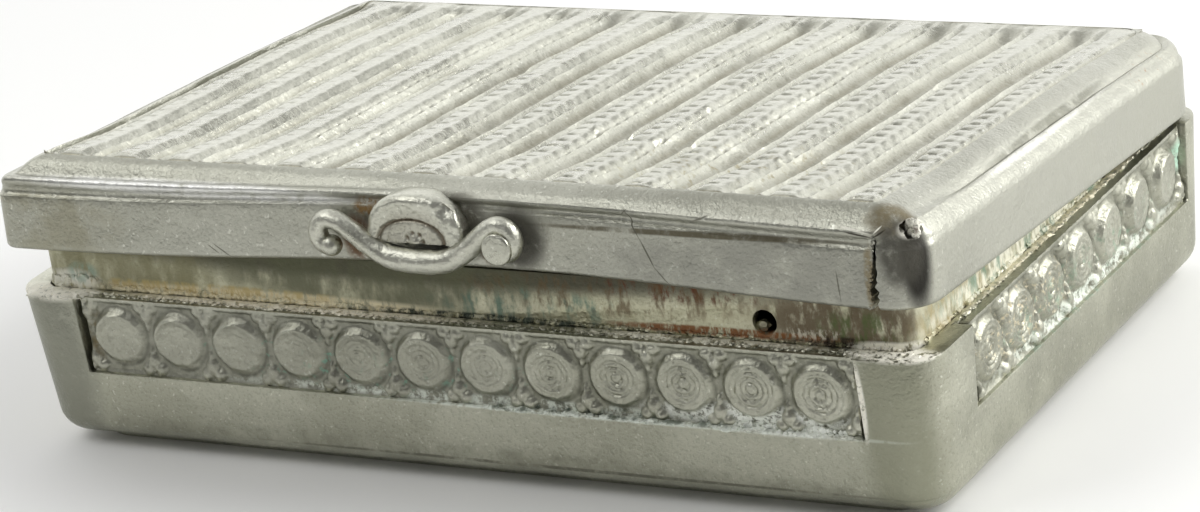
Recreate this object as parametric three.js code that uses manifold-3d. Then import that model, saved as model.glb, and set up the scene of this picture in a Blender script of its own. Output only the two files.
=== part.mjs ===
// Cast pewter snuff box: a drafted tray with roundel strips let into its walls, an upright
// inner lip, and a ribbed lid on a seven-knuckle hinge with a scrolled thumbpiece.
// X runs along the front, Y to the back, Z up. The origin is the middle of the underside.
import * as THREE from 'three';
import { mergeVertices } from 'three/addons/utils/BufferGeometryUtils.js';
import Module from 'manifold-3d';

const wasm = await Module();
wasm.setup();

// Tray
const rimWidth = 71.9;
const rimDepth = 46.5;
const trayHeight = 11.2;
const trayDraftDegrees = 3.4;
const rimCornerRadius = 2.8;
const lowerEdgeRadius = 1.8;
const wallThickness = 1.8;
const floorThickness = 1.4;
const cavityCornerRadius = 1.5;
const cavityFootRadius = 1.2;

// Foot plate under the tray
const footHeight = 0.7;
const footInset = 0.4;
const footChamfer = 0.25;

// Upright inner lip
const lipThickness = 0.9;
const lipSeam = 0.1;
const lipRise = 3.1;
const lipSeatDepth = 3.2;
const lipHoleDiameter = 1.7;
const lipHoleX = 23.5;
const lipHoleRise = 1.25;

// Roundel strips in the walls
const recessDepth = 1.25;
const recessHeight = 5.8;
const recessEndMargin = 0.5;
const roundelPitch = 5.0;
const roundelDiameter = 4.3;
const roundelRelief = 0.42;
const roundelSink = 0.14;
const roundelBossDiameter = 1.0;
const roundelRimWidth = 0.45;
const frontRoundels = 12;
const sideRoundels = 7;
const sideRecessShift = 1.5;
const stripThickness = 0.42;
const stripTopDrop = 0.12;
const pelletRadius = 0.42;

// Lid
const lidWallHeight = 4.05;
const lidBeadRadius = 0.58;
const lidBeadProjection = 0.12;
const lidWallInset = 0;
const lidPanelLevel = 6.25;
const lidBorderFront = 1.75;
const lidBorderSide = 3.5;
const sideRidgeInset = 0.6;
const lidCeiling = 3.75;
const lidFloorThickness = 0.65;
const lidWallThickness = 1.5;
const lidLowerEdgeRadius = 0.45;
const lidBowRise = 1.1;
const lidBowCentre = 3;
const lidBowReach = 21;
const lidBowFade = 0.85;
const panelFrontLift = 0.45;
const panelBackDrop = 0.45;
const panelSink = 0.3;
const closedGap = 0.15;
const restAngleDegrees = 3.9;

// Ribbed panel
const ropesLeft = 4;
const ropesRight = 8;
const ropePitchLeft = 4.56;
const ropePitchRight = 5.38;
const ropeTurnX = -11.7;
const ropeHalfWidth = 0.78;
const ropeHeight = 0.42;
const filletOffset = 1.45;
const filletWidth = 0.45;
const filletHeight = 0.22;
const fluteDepth = 0.4;

// Hinge
const hingeLength = 46.2;
const knuckleCount = 7;
const knuckleGap = 0.25;
const barrelRadius = 1.0;
const pinRadius = 0.47;
const pinClearance = 0.08;
const axisOffset = 0.05;
const troughClearance = 0.15;
const bearerDepth = 1.45;
const bearerHeight = 2.2;

// Thumbpiece
const bowSpanLeft = 7.0;
const bowSpanRight = 6.35;
const bowBellyHeight = 1.8;
const bowShoulderLeft = 4.35;
const bowShoulderRight = 4.6;
const bowBellyRadius = 0.86;
const bowEndRadius = 0.66;
const bowSag = 1.6;
const voluteRadius = 1.15;
const voluteInnerRadius = 0.72;
const voluteButtonRadius = 1.1;
const voluteButtonProud = 0.25;
const shellOffset = -0.45;
const shellHalfWidth = 3.75;
const shellHeight = 3.6;
const shellThickness = 2.6;
const shellBaseHeight = 2.95;
const shellRounding = 0.45;

// Shared clearance of soldered seats
const seatGap = 0.25;

// Shading steps
const cornerSteps = 6;
const edgeSteps = 4;

// Levels and faces that several pieces share
const draft = Math.tan(THREE.MathUtils.degToRad(trayDraftDegrees));
const rimLevel = footHeight + trayHeight;
const halfWidth = rimWidth / 2;
const halfDepth = rimDepth / 2;
const axisY = halfDepth + axisOffset;
const axisZ = rimLevel + closedGap / 2;
const recessFloor = rimLevel - recessHeight;
const cavityHalfWidth = halfWidth - wallThickness;
const cavityHalfDepth = halfDepth - wallThickness;
const lidCentreY = -axisY;
const lidBottom = closedGap / 2;

// Closed outline of a rounded rectangle at one level, counter-clockwise seen from above.
function roundedRing(halfX, halfY, radius, level, centreY = 0) {
  const ring = [];
  const r = Math.min(radius, halfX, halfY);
  for (let corner = 0; corner < 4; corner += 1) {
    const signX = corner === 0 || corner === 3 ? 1 : -1;
    const signY = corner < 2 ? 1 : -1;
    for (let step = 0; step <= cornerSteps; step += 1) {
      const angle = (corner + step / cornerSteps) * Math.PI / 2;
      ring.push(new THREE.Vector3(
        signX * (halfX - r) + r * Math.cos(angle),
        centreY + signY * (halfY - r) + r * Math.sin(angle),
        level,
      ));
    }
  }
  return ring;
}

// Skin over a stack of rings with as many points each, closed by a fan at both ends.
function loft(rings) {
  const count = rings[0].length;
  const positions = [];
  const index = [];
  rings.forEach((ring) => ring.forEach((point) => positions.push(point.x, point.y, point.z)));
  for (let row = 0; row < rings.length - 1; row += 1) {
    for (let i = 0; i < count; i += 1) {
      const a = row * count + i;
      const b = row * count + (i + 1) % count;
      index.push(a, b, b + count, a, b + count, a + count);
    }
  }
  const capEnd = (ring, base, up) => {
    const centre = ring.reduce((sum, p) => sum.add(p), new THREE.Vector3()).divideScalar(count);
    const hub = positions.length / 3;
    positions.push(centre.x, centre.y, centre.z);
    for (let i = 0; i < count; i += 1) {
      const a = base + i;
      const b = base + (i + 1) % count;
      if (up) index.push(hub, a, b);
      else index.push(hub, b, a);
    }
  };
  capEnd(rings[0], 0, false);
  capEnd(rings[rings.length - 1], (rings.length - 1) * count, true);
  const geometry = new THREE.BufferGeometry();
  geometry.setAttribute('position', new THREE.Float32BufferAttribute(positions, 3));
  geometry.setIndex(index);
  return geometry;
}

function toSolid(geometry) {
  const bare = geometry.clone();
  bare.deleteAttribute('normal');
  bare.deleteAttribute('uv');
  const merged = mergeVertices(bare, 1e-4);
  return new wasm.Manifold(new wasm.Mesh({
    numProp: 3,
    vertProperties: new Float32Array(merged.attributes.position.array),
    triVerts: new Uint32Array(merged.index.array),
  }));
}

function toGeometry(solid) {
  const mesh = solid.getMesh();
  const geometry = new THREE.BufferGeometry();
  geometry.setAttribute('position', new THREE.Float32BufferAttribute(mesh.vertProperties, 3));
  geometry.setIndex(Array.from(mesh.triVerts));
  return geometry;
}

// A block given by its low and high corners.
function block(low, high) {
  const geometry = new THREE.BoxGeometry(high[0] - low[0], high[1] - low[1], high[2] - low[2]);
  geometry.translate((low[0] + high[0]) / 2, (low[1] + high[1]) / 2, (low[2] + high[2]) / 2);
  return geometry;
}

const pewter = (colour, roughness) => new THREE.MeshStandardMaterial({
  color: colour, roughness, metalness: 1,
});
const castPewter = pewter(0x9b9a8d, 0.45);
const wornPewter = pewter(0xa8a79b, 0.42);
const tarnishedPewter = pewter(0x7c7459, 0.6);
const brass = pewter(0xa08a56, 0.4);

const snuffBox = new THREE.Group();
function addPiece(parent, name, geometry, material) {
  geometry.computeVertexNormals();
  const piece = new THREE.Mesh(geometry, material);
  piece.name = name;
  parent.add(piece);
}

// Half size of the tray's outside at a level: the walls lean out towards the rim.
const leanAt = (level) => (rimLevel - level) * draft;

// Tray: a drafted loft with a rounded lower edge, hollowed, with the recesses for the roundel
// strips open at the rim and a rebate for the hinge bearer at the back.
function trayShell() {
  const outside = [];
  for (let step = 0; step <= edgeSteps; step += 1) {
    const angle = step / edgeSteps * Math.PI / 2;
    const level = footHeight + lowerEdgeRadius * (1 - Math.cos(angle));
    const inset = leanAt(footHeight + lowerEdgeRadius) + lowerEdgeRadius * (1 - Math.sin(angle));
    outside.push(roundedRing(
      halfWidth - inset, halfDepth - inset, rimCornerRadius + 0.4 * lowerEdgeRadius, level,
    ));
  }
  outside.push(roundedRing(halfWidth, halfDepth, rimCornerRadius, rimLevel));

  const floorLevel = footHeight + floorThickness;
  const cavity = [
    roundedRing(
      cavityHalfWidth - cavityFootRadius, cavityHalfDepth - cavityFootRadius,
      cavityCornerRadius, floorLevel,
    ),
    roundedRing(
      cavityHalfWidth - 0.3 * cavityFootRadius, cavityHalfDepth - 0.3 * cavityFootRadius,
      cavityCornerRadius, floorLevel + 0.3 * cavityFootRadius,
    ),
    roundedRing(
      cavityHalfWidth, cavityHalfDepth, cavityCornerRadius, floorLevel + cavityFootRadius,
    ),
    roundedRing(cavityHalfWidth, cavityHalfDepth, cavityCornerRadius, rimLevel + 1),
  ];

  const frontHalf = frontRoundels * roundelPitch / 2 + recessEndMargin;
  const sideHalf = sideRoundels * roundelPitch / 2 + recessEndMargin;
  const above = rimLevel + 1;
  let solid = toSolid(loft(outside)).subtract(toSolid(loft(cavity)));
  solid = solid.subtract(toSolid(block(
    [-frontHalf, -halfDepth - 1, recessFloor], [frontHalf, -halfDepth + recessDepth, above],
  )));
  [-1, 1].forEach((side) => {
    const inner = side * (halfWidth - recessDepth);
    const outer = side * (halfWidth + 1);
    solid = solid.subtract(toSolid(block(
      [Math.min(inner, outer), sideRecessShift - sideHalf, recessFloor],
      [Math.max(inner, outer), sideRecessShift + sideHalf, above],
    )));
  });
  const rebateHalf = hingeLength / 2 + seatGap;
  solid = solid.subtract(toSolid(block(
    [-rebateHalf, axisY - bearerDepth, axisZ - bearerHeight], [rebateHalf, axisY + 1, above],
  )));
  return toGeometry(solid);
}

// Foot plate: follows the tray's flat underside a little way in, with a chamfered lower edge.
function footPlate() {
  const inset = leanAt(footHeight + lowerEdgeRadius) + lowerEdgeRadius + footInset;
  const radius = rimCornerRadius + 0.4 * lowerEdgeRadius - footInset;
  return loft([
    roundedRing(halfWidth - inset - footChamfer, halfDepth - inset - footChamfer, radius, 0),
    roundedRing(halfWidth - inset, halfDepth - inset, radius, footChamfer),
    roundedRing(halfWidth - inset, halfDepth - inset, radius, footHeight),
  ]);
}

// Lip: a strip bent to a ring inside the cavity, standing proud of the rim.
function lipRing() {
  const outerX = cavityHalfWidth - lipSeam;
  const outerY = cavityHalfDepth - lipSeam;
  const radius = cavityCornerRadius - lipSeam;
  const low = rimLevel - lipSeatDepth;
  const high = rimLevel + lipRise;
  const outside = loft([
    roundedRing(outerX, outerY, radius, low), roundedRing(outerX, outerY, radius, high),
  ]);
  const innerX = outerX - lipThickness;
  const innerY = outerY - lipThickness;
  const innerRadius = radius - 0.6 * lipThickness;
  const inside = loft([
    roundedRing(innerX, innerY, innerRadius, low - 1),
    roundedRing(innerX, innerY, innerRadius, high + 1),
  ]);
  const drill = new THREE.CylinderGeometry(
    lipHoleDiameter / 2, lipHoleDiameter / 2, 4 * lipThickness, 20,
  );
  drill.translate(lipHoleX, -outerY, rimLevel + lipHoleRise);
  return toGeometry(toSolid(outside).subtract(toSolid(inside)).subtract(toSolid(drill)));
}

// One roundel, its face towards -Y: a raised rim, a sunk ring and a central boss.
function roundel() {
  const outer = roundelDiameter / 2;
  const boss = roundelBossDiameter / 2;
  const sunk = roundelRelief - roundelSink;
  const profile = [
    [0, roundelRelief], [boss, roundelRelief], [boss + roundelSink, sunk],
    [outer - roundelRimWidth - roundelSink, sunk], [outer - roundelRimWidth, roundelRelief],
    [outer, roundelRelief], [outer, -stripThickness / 2], [0, -stripThickness / 2],
  ].map(([r, h]) => new THREE.Vector2(r, h));
  const geometry = new THREE.LatheGeometry(profile.reverse(), 16);
  geometry.rotateX(Math.PI);
  return geometry;
}

// Strip of roundels with small pellets in the corners between them, its back on y = 0.
function roundelStrip(count) {
  const half = count * roundelPitch / 2 + recessEndMargin - seatGap;
  const top = rimLevel - stripTopDrop;
  let solid = toSolid(block([-half, -stripThickness, recessFloor], [half, 0, top]));
  const middle = recessFloor + (recessHeight - stripTopDrop) / 2;
  const face = toSolid(roundel());
  for (let i = 0; i < count; i += 1) {
    const x = (i - (count - 1) / 2) * roundelPitch;
    solid = solid.add(face.translate([x, -stripThickness, middle]));
  }
  const pellet = toSolid(new THREE.SphereGeometry(pelletRadius, 6, 3).rotateX(Math.PI / 2));
  for (let i = 0; i <= count; i += 1) {
    const limit = half - pelletRadius;
    const x = THREE.MathUtils.clamp((i - count / 2) * roundelPitch, -limit, limit);
    [-1, 1].forEach((side) => {
      const rise = recessHeight / 2 - stripTopDrop - pelletRadius;
      solid = solid.add(pellet.translate([x, -stripThickness, middle + side * (rise - 0.1)]));
    });
  }
  return toGeometry(solid);
}

// Channelled strip that carries the knuckles, for the tray (side -1) or the lid (side 1).
// It is drawn about the hinge axis and runs along it.
function hingeBearer(side) {
  const trough = barrelRadius + troughClearance;
  const face = closedGap / 2;
  const outline = new THREE.Shape();
  const startAngle = Math.asin(face / trough);
  const endAngle = Math.acos(axisOffset / trough);
  outline.moveTo(-bearerDepth, side * face);
  outline.lineTo(-bearerDepth, side * bearerHeight);
  outline.lineTo(-axisOffset, side * bearerHeight);
  const steps = 8;
  for (let i = 0; i <= steps; i += 1) {
    const angle = endAngle + (startAngle - endAngle) * i / steps;
    outline.lineTo(-trough * Math.cos(angle), side * trough * Math.sin(angle));
  }
  outline.closePath();
  const geometry = new THREE.ExtrudeGeometry(outline, {
    depth: hingeLength, bevelEnabled: false, curveSegments: 8,
  });
  geometry.translate(0, 0, -hingeLength / 2);
  geometry.applyMatrix4(new THREE.Matrix4().makeBasis(
    new THREE.Vector3(0, 1, 0), new THREE.Vector3(0, 0, 1), new THREE.Vector3(1, 0, 0),
  ));
  return geometry;
}

// Tube about the X axis with the bore for the pin.
function knuckle(place) {
  const pitch = hingeLength / knuckleCount;
  const half = (pitch - knuckleGap) / 2;
  const bore = pinRadius + pinClearance;
  const profile = [
    [bore, -half], [barrelRadius, -half], [barrelRadius, half], [bore, half], [bore, -half],
  ].map(([r, h]) => new THREE.Vector2(r, h));
  const geometry = new THREE.LatheGeometry(profile, 20);
  geometry.rotateZ(-Math.PI / 2);
  geometry.translate((place - (knuckleCount - 1) / 2) * pitch, 0, 0);
  return geometry;
}

// Profile of the lid's outside from the lower edge to the panel: inset from the front or back,
// inset from the sides, and height. The side borders are wider, and their bead leans inwards.
function lidProfile(grow = 0) {
  const profile = [];
  for (let i = 0; i <= 2; i += 1) {
    const angle = i / 2 * Math.PI / 2;
    const inset = lidWallInset + lidLowerEdgeRadius * (1 - Math.sin(angle));
    profile.push([inset, inset, lidLowerEdgeRadius * (1 - Math.cos(angle))]);
  }
  profile.push([lidWallInset, lidWallInset, lidWallHeight]);
  const beadCentre = lidWallHeight + lidBeadRadius;
  for (let i = 0; i <= 4; i += 1) {
    const angle = -Math.PI / 3 + i / 4 * Math.PI * 5 / 6;
    const inset = lidBeadRadius - lidBeadProjection - lidBeadRadius * Math.cos(angle);
    const lean = sideRidgeInset * (i / 4) ** 2;
    profile.push([inset, inset + lean, beadCentre + lidBeadRadius * Math.sin(angle)]);
  }
  const beadTop = beadCentre + lidBeadRadius;
  const ridge = lidBeadRadius - lidBeadProjection;
  const rise = lidPanelLevel - beadTop;
  for (let i = 1; i <= 5; i += 1) {
    const share = i / 5;
    profile.push([
      THREE.MathUtils.lerp(ridge, lidBorderFront, share),
      THREE.MathUtils.lerp(ridge + sideRidgeInset, lidBorderSide, share),
      beadTop + rise * Math.sin(share * Math.PI / 2),
    ]);
  }
  return profile.map(([front, side, height]) => [
    front - grow, side - grow, height + (height > 0 ? grow : -grow),
  ]);
}

// How far the sprung lid stands off its flat form at a share of the height from its wall to
// its panel: the wall has bowed up in the middle of the front, and the panel has sunk between
// a raised front edge and a lower back.
function lidBow(x, y, share) {
  const away = Math.abs(x - lidBowCentre) / lidBowReach;
  const bow = lidBowRise * Math.exp(-(away ** 2.5)) * -y / rimDepth;
  const lift = panelFrontLift * THREE.MathUtils.smoothstep(-y, 0.78 * rimDepth, 0.96 * rimDepth);
  const drop = panelBackDrop * THREE.MathUtils.smoothstep(y, -0.39 * rimDepth, -0.04 * rimDepth);
  return bow * (1 - lidBowFade * share) + (lift - drop) * share;
}

// Rounded ring of the lid with extra points along the front and the sides, lifted by the bow.
function bowedRing(halfX, halfY, radius, level) {
  const ring = roundedRing(halfX, halfY, radius, level, lidCentreY);
  const share = THREE.MathUtils.clamp(
    (level - lidBottom - lidWallHeight) / (lidPanelLevel - lidWallHeight), 0, 1,
  );
  const bowed = [];
  ring.forEach((point, i) => {
    bowed.push(point);
    if ((i + 1) % (cornerSteps + 1) > 0) return;
    const steps = [1, 4, 14, 4][(i + 1) / (cornerSteps + 1) - 1];
    const next = ring[(i + 1) % ring.length];
    for (let step = 1; step < steps; step += 1) bowed.push(point.clone().lerp(next, step / steps));
  });
  bowed.forEach((point) => { point.z += lidBow(point.x, point.y, share); });
  return bowed;
}

// The lid's outer form as a stack of rounded rings that follow the profile.
function lidOutside(grow = 0) {
  return loft(lidProfile(grow).map(([front, side, height]) => bowedRing(
    halfWidth - side, halfDepth - front,
    Math.max(rimCornerRadius - 0.6 * side, 1), lidBottom + height,
  )));
}

// Lid: moulded border, walls hollowed from below, a seat for the panel on top and a notch
// in the back wall for the hinge bearer.
function lidShell() {
  const hollowX = halfWidth - lidWallThickness;
  const hollowY = halfDepth - lidWallThickness;
  const ceiling = lidBottom + lidCeiling;
  const hollow = loft([
    roundedRing(hollowX, hollowY, cavityCornerRadius, lidBottom - 1, lidCentreY),
    roundedRing(hollowX, hollowY, cavityCornerRadius, ceiling, lidCentreY),
  ]);
  const seatX = halfWidth - lidBorderSide - 0.05;
  const seatY = halfDepth - lidBorderFront - 0.05;
  const seat = block(
    [-seatX, lidCentreY - seatY, ceiling + lidFloorThickness],
    [seatX, lidCentreY + seatY, lidBottom + lidPanelLevel + lidBowRise + panelFrontLift],
  );
  const notchHalf = hingeLength / 2 + seatGap;
  const notch = block(
    [-notchHalf, -bearerDepth - seatGap, lidBottom - 1],
    [notchHalf, 1, bearerHeight + seatGap],
  );
  return toGeometry(
    toSolid(lidOutside()).subtract(toSolid(hollow)).subtract(toSolid(seat)).subtract(toSolid(notch)),
  );
}

// Height of the ribbed panel's face above its flat level, across the ribs: a flat-topped rope,
// a fillet bead on each side of it and a hollow flute up to the next one. The ropes stand
// closer together at the left end.
function ribProfile(limit) {
  const points = [];
  const arcSteps = 4;
  const bead = (x) => [0, 0.5, 1].forEach((share) => {
    points.push([x + filletWidth * share, filletHeight * Math.sin(Math.PI * share)]);
  });
  for (let i = -ropesLeft; i <= ropesRight; i += 1) {
    const x = ropeTurnX + i * (i < 0 ? ropePitchLeft : ropePitchRight);
    const pitch = i < 0 ? ropePitchLeft : ropePitchRight;
    bead(x - filletOffset - filletWidth);
    for (let step = 0; step <= arcSteps; step += 1) {
      const share = 2 * step / arcSteps - 1;
      points.push([x + ropeHalfWidth * share, ropeHeight * (1 - share ** 4)]);
    }
    bead(x + filletOffset);
    const fluteHalf = pitch / 2 - filletOffset - filletWidth;
    for (let step = 1; step < arcSteps; step += 1) {
      const share = 2 * step / arcSteps - 1;
      points.push([x + pitch / 2 + fluteHalf * share, -fluteDepth * (1 - share ** 2)]);
    }
  }
  return points.filter(([x]) => Math.abs(x) < limit);
}

// Ribbed panel: the rib profile run from front to back, its face bowed with the lid.
function ribbedPanel() {
  const halfX = halfWidth - lidBorderSide - 0.05 - seatGap;
  const halfY = halfDepth - lidBorderFront - 0.05 - seatGap;
  const top = lidBottom + lidPanelLevel - panelSink;
  const under = lidBottom + lidCeiling + lidFloorThickness + seatGap;
  const outline = new THREE.Shape();
  outline.moveTo(-halfX, under);
  outline.lineTo(halfX, under);
  outline.lineTo(halfX, top);
  ribProfile(halfX - 0.1).reverse().forEach(([x, height]) => outline.lineTo(x, top + height));
  outline.lineTo(-halfX, top);
  outline.closePath();
  const geometry = new THREE.ExtrudeGeometry(outline, {
    depth: 2 * halfY, steps: 4, bevelEnabled: false,
  });
  geometry.rotateX(Math.PI / 2);
  geometry.translate(0, lidCentreY + halfY, 0);
  const place = geometry.attributes.position;
  for (let i = 0; i < place.count; i += 1) {
    if (place.getZ(i) > under + 0.01) {
      place.setZ(i, place.getZ(i) + lidBow(place.getX(i), place.getY(i), 1));
    }
  }
  return geometry;
}

// Centre line of the thumbpiece's bow: it sags in the middle, rises to a shoulder at each
// end and rolls over and in round the volute. The rod is thickest in the belly.
class BowCurve extends THREE.Curve {
  constructor(depthY) {
    super();
    this.depthY = depthY;
    this.bowShare = 0.66;
  }

  getPoint(t, target = new THREE.Vector3()) {
    const side = t < 0.5 ? -1 : 1;
    const span = side < 0 ? bowSpanLeft : bowSpanRight;
    const shoulder = side < 0 ? bowShoulderLeft : bowShoulderRight;
    const run = Math.abs(t - 0.5) * 2;
    if (run <= this.bowShare) {
      const x = run / this.bowShare;
      const rise = (1 - Math.cos(Math.PI * x ** bowSag)) / 2;
      return target.set(
        side * x * span, this.depthY, bowBellyHeight + (shoulder - bowBellyHeight) * rise,
      );
    }
    const turn = (run - this.bowShare) / (1 - this.bowShare);
    const angle = Math.PI / 2 - turn * Math.PI;
    const radius = voluteRadius + (voluteInnerRadius - voluteRadius) * turn;
    return target.set(
      side * (span + radius * Math.cos(angle)), this.depthY,
      shoulder - voluteRadius + radius * Math.sin(angle),
    );
  }

  rodRadius(t) {
    const run = Math.min(Math.abs(t - 0.5) * 2 / this.bowShare, 1);
    return bowEndRadius + (bowBellyRadius - bowEndRadius) * (1 - run * run) ** 2;
  }
}

const thumbFace = lidCentreY - halfDepth - lidBeadProjection - seatGap;
const bowDepthY = thumbFace - bowBellyRadius;

// The bow's rod, or the same rod grown all round to cut its clearance.
function bowRod(grow = 0) {
  const curve = new BowCurve(bowDepthY);
  const sides = 12;
  const steps = 40;
  const across = new THREE.Vector3(0, 1, 0);
  const rings = [];
  for (let step = 0; step <= steps; step += 1) {
    const t = step / steps;
    const centre = curve.getPoint(t);
    const ahead = curve.getPoint(Math.min(t + 0.004, 1));
    const behind = curve.getPoint(Math.max(t - 0.004, 0));
    const inPlane = ahead.sub(behind).normalize().cross(across);
    const radius = curve.rodRadius(t) + grow;
    const ring = [];
    for (let i = 0; i < sides; i += 1) {
      const angle = i / sides * Math.PI * 2;
      ring.push(centre.clone()
        .addScaledVector(across, radius * Math.cos(angle))
        .addScaledVector(inPlane, radius * Math.sin(angle)));
    }
    rings.push(ring);
  }
  return loft(rings);
}

// The right volute is filled by a round button that stands a little proud of the rod; the
// left one ends in a small knob.
function voluteButton() {
  const depth = bowEndRadius + voluteButtonProud + 0.5 * bowEndRadius;
  const geometry = new THREE.CylinderGeometry(voluteButtonRadius, voluteButtonRadius, depth, 20);
  geometry.translate(
    bowSpanRight, bowDepthY - bowEndRadius - voluteButtonProud + depth / 2,
    bowShoulderRight - voluteRadius - 0.35 * voluteInnerRadius,
  );
  return geometry;
}

function voluteKnob() {
  const geometry = new THREE.SphereGeometry(1.08 * bowEndRadius, 12, 8);
  geometry.translate(
    -bowSpanLeft, bowDepthY, bowShoulderLeft - voluteRadius - voluteInnerRadius,
  );
  return geometry;
}

function thumbScroll() {
  const solid = toSolid(bowRod()).add(toSolid(voluteButton())).add(toSolid(voluteKnob()));
  return toGeometry(solid.translate([0, 0, lidBottom]));
}

// Half-round shell that stands on the lid's edge behind the bow.
function thumbShell() {
  const outline = new THREE.Shape();
  const steps = 16;
  const squareness = 0.8;
  outline.moveTo(-shellHalfWidth, 0);
  for (let i = 1; i <= steps; i += 1) {
    const angle = Math.PI * (1 - i / steps);
    const across = Math.abs(Math.cos(angle)) ** squareness * Math.sign(Math.cos(angle));
    outline.lineTo(
      shellHalfWidth * across, shellHeight * Math.abs(Math.sin(angle)) ** squareness,
    );
  }
  outline.closePath();
  const geometry = new THREE.ExtrudeGeometry(outline, {
    depth: shellThickness - 2 * shellRounding, bevelEnabled: true, bevelSegments: 2,
    bevelThickness: shellRounding, bevelSize: shellRounding, bevelOffset: -shellRounding,
  });
  geometry.rotateX(Math.PI / 2);
  geometry.translate(
    shellOffset, bowDepthY + shellThickness - shellRounding, shellBaseHeight + lidBottom,
  );
  const keepOut = toSolid(lidOutside(seatGap));
  const rod = toSolid(bowRod(seatGap)).translate([0, 0, lidBottom]);
  return toGeometry(toSolid(geometry).subtract(keepOut).subtract(rod));
}

addPiece(snuffBox, 'body_shell', trayShell(), castPewter);
addPiece(snuffBox, 'base_plate', footPlate(), castPewter);
addPiece(snuffBox, 'lip_frame', lipRing(), tarnishedPewter);

const frontStrip = roundelStrip(frontRoundels);
frontStrip.translate(0, -halfDepth + recessDepth, 0);
addPiece(snuffBox, 'frieze_front', frontStrip, wornPewter);
[['frieze_right', 1], ['frieze_left', -1]].forEach(([name, side]) => {
  const strip = roundelStrip(sideRoundels);
  strip.rotateZ(side * Math.PI / 2);
  strip.translate(side * (halfWidth - recessDepth), sideRecessShift, 0);
  addPiece(snuffBox, name, strip, wornPewter);
});

const trayHinge = new THREE.Group();
trayHinge.position.set(0, axisY, axisZ);
snuffBox.add(trayHinge);
addPiece(trayHinge, 'hinge_bearer_body', hingeBearer(-1), castPewter);

// The lid's pieces are drawn closed, about the hinge axis, and the group stands ajar.
const lid = new THREE.Group();
lid.position.set(0, axisY, axisZ);
lid.rotation.x = -THREE.MathUtils.degToRad(restAngleDegrees);
snuffBox.add(lid);
addPiece(lid, 'hinge_bearer_lid', hingeBearer(1), castPewter);

for (let place = 0; place < knuckleCount; place += 1) {
  const onTray = place % 2 === 0;
  const name = `${onTray ? 'knuckle_body' : 'knuckle_lid'}_${Math.floor(place / 2) + 1}`;
  addPiece(onTray ? trayHinge : lid, name, knuckle(place), castPewter);
}
const pin = new THREE.CylinderGeometry(pinRadius, pinRadius, hingeLength - knuckleGap, 16);
pin.rotateZ(Math.PI / 2);
addPiece(trayHinge, 'hinge_pin', pin, brass);

addPiece(lid, 'lid_shell', lidShell(), castPewter);
addPiece(lid, 'lid_panel', ribbedPanel(), wornPewter);
addPiece(lid, 'thumb_scroll', thumbScroll(), wornPewter);
addPiece(lid, 'thumb_shell', thumbShell(), wornPewter);

export default snuffBox;
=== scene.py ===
import bpy
import bmesh
import math
from mathutils import Matrix, Vector, noise


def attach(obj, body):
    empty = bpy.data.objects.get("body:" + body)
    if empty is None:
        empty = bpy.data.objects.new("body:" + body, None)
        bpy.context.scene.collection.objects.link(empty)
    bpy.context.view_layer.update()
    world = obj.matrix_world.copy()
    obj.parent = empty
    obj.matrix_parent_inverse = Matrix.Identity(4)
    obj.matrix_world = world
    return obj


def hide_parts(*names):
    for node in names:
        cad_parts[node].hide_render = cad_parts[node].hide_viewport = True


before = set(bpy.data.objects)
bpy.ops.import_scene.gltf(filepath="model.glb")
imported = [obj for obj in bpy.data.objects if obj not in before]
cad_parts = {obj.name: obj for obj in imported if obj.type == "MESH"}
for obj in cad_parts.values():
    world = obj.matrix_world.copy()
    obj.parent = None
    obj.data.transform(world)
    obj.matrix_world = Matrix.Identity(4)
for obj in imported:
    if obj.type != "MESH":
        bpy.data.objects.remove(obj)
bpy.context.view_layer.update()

# All sizes are millimetres until finishPiece turns them to metres
body = {"halfX": 35.95, "halfY": 23.25, "rim": 11.9, "foot": 0.7, "draft": 3.4,
        "cornerRadius": 2.8, "wall": 1.8, "floor": 1.4}
hinge = {"y": 23.3, "z": 11.975, "ajar": 3.9, "length": 46.2, "knuckles": 7, "gap": 0.25, "room": 0.25,
         "barrel": 1.0, "bore": 0.55, "pin": 0.47, "trough": 1.15, "bearerDepth": 1.45,
         "bearerHeight": 2.2, "offset": 0.05, "face": 0.075, "edge": 0.08,
         "rounding": ((0.12, 0), (0.035, 0.035), (0, 0.12))}
lid = {"bottom": 0.075, "level": 6.25, "wallHeight": 4.05, "borderFront": 1.75, "borderSide": 3.5,
           "wall": 1.5, "ceiling": 3.75, "floor": 0.65, "depth": 46.5, "sink": 0.3, "fullFrom": 5.0,
           "innerRadius": 1.5, "lowerRadius": 0.45, "seatRadius": 0.4, "seatInset": 1.8, "seatSide": 3.55,
           "seatTop": 5.8,
           "bowRise": 1.1, "bowCentre": 3.0, "bowReach": 21.0, "bowFade": 0.85,
           "lift": 0.45, "liftBand": (0.78, 0.96), "drop": 0.45, "dropBand": (-0.39, -0.04)}
ajar = (Matrix.Translation((0, hinge["y"], hinge["z"]))
        @ Matrix.Rotation(math.radians(-hinge["ajar"]), 4, "X"))


def rough(x, y, z=0.0, scale=1.0):    # two octaves of noise round 0
    return noise.fractal(Vector((x * scale, y * scale, z)), 0.8, 2.0, 2)


def clamp(value):
    return min(max(value, 0.0), 1.0)


def smooth(low, high, value):
    share = clamp((value - low) / (high - low))
    return share * share * (3 - 2 * share)


def hump(away, width):    # 1 in the middle, fading out over the width
    return math.exp(-(away / width) ** 2)


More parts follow.
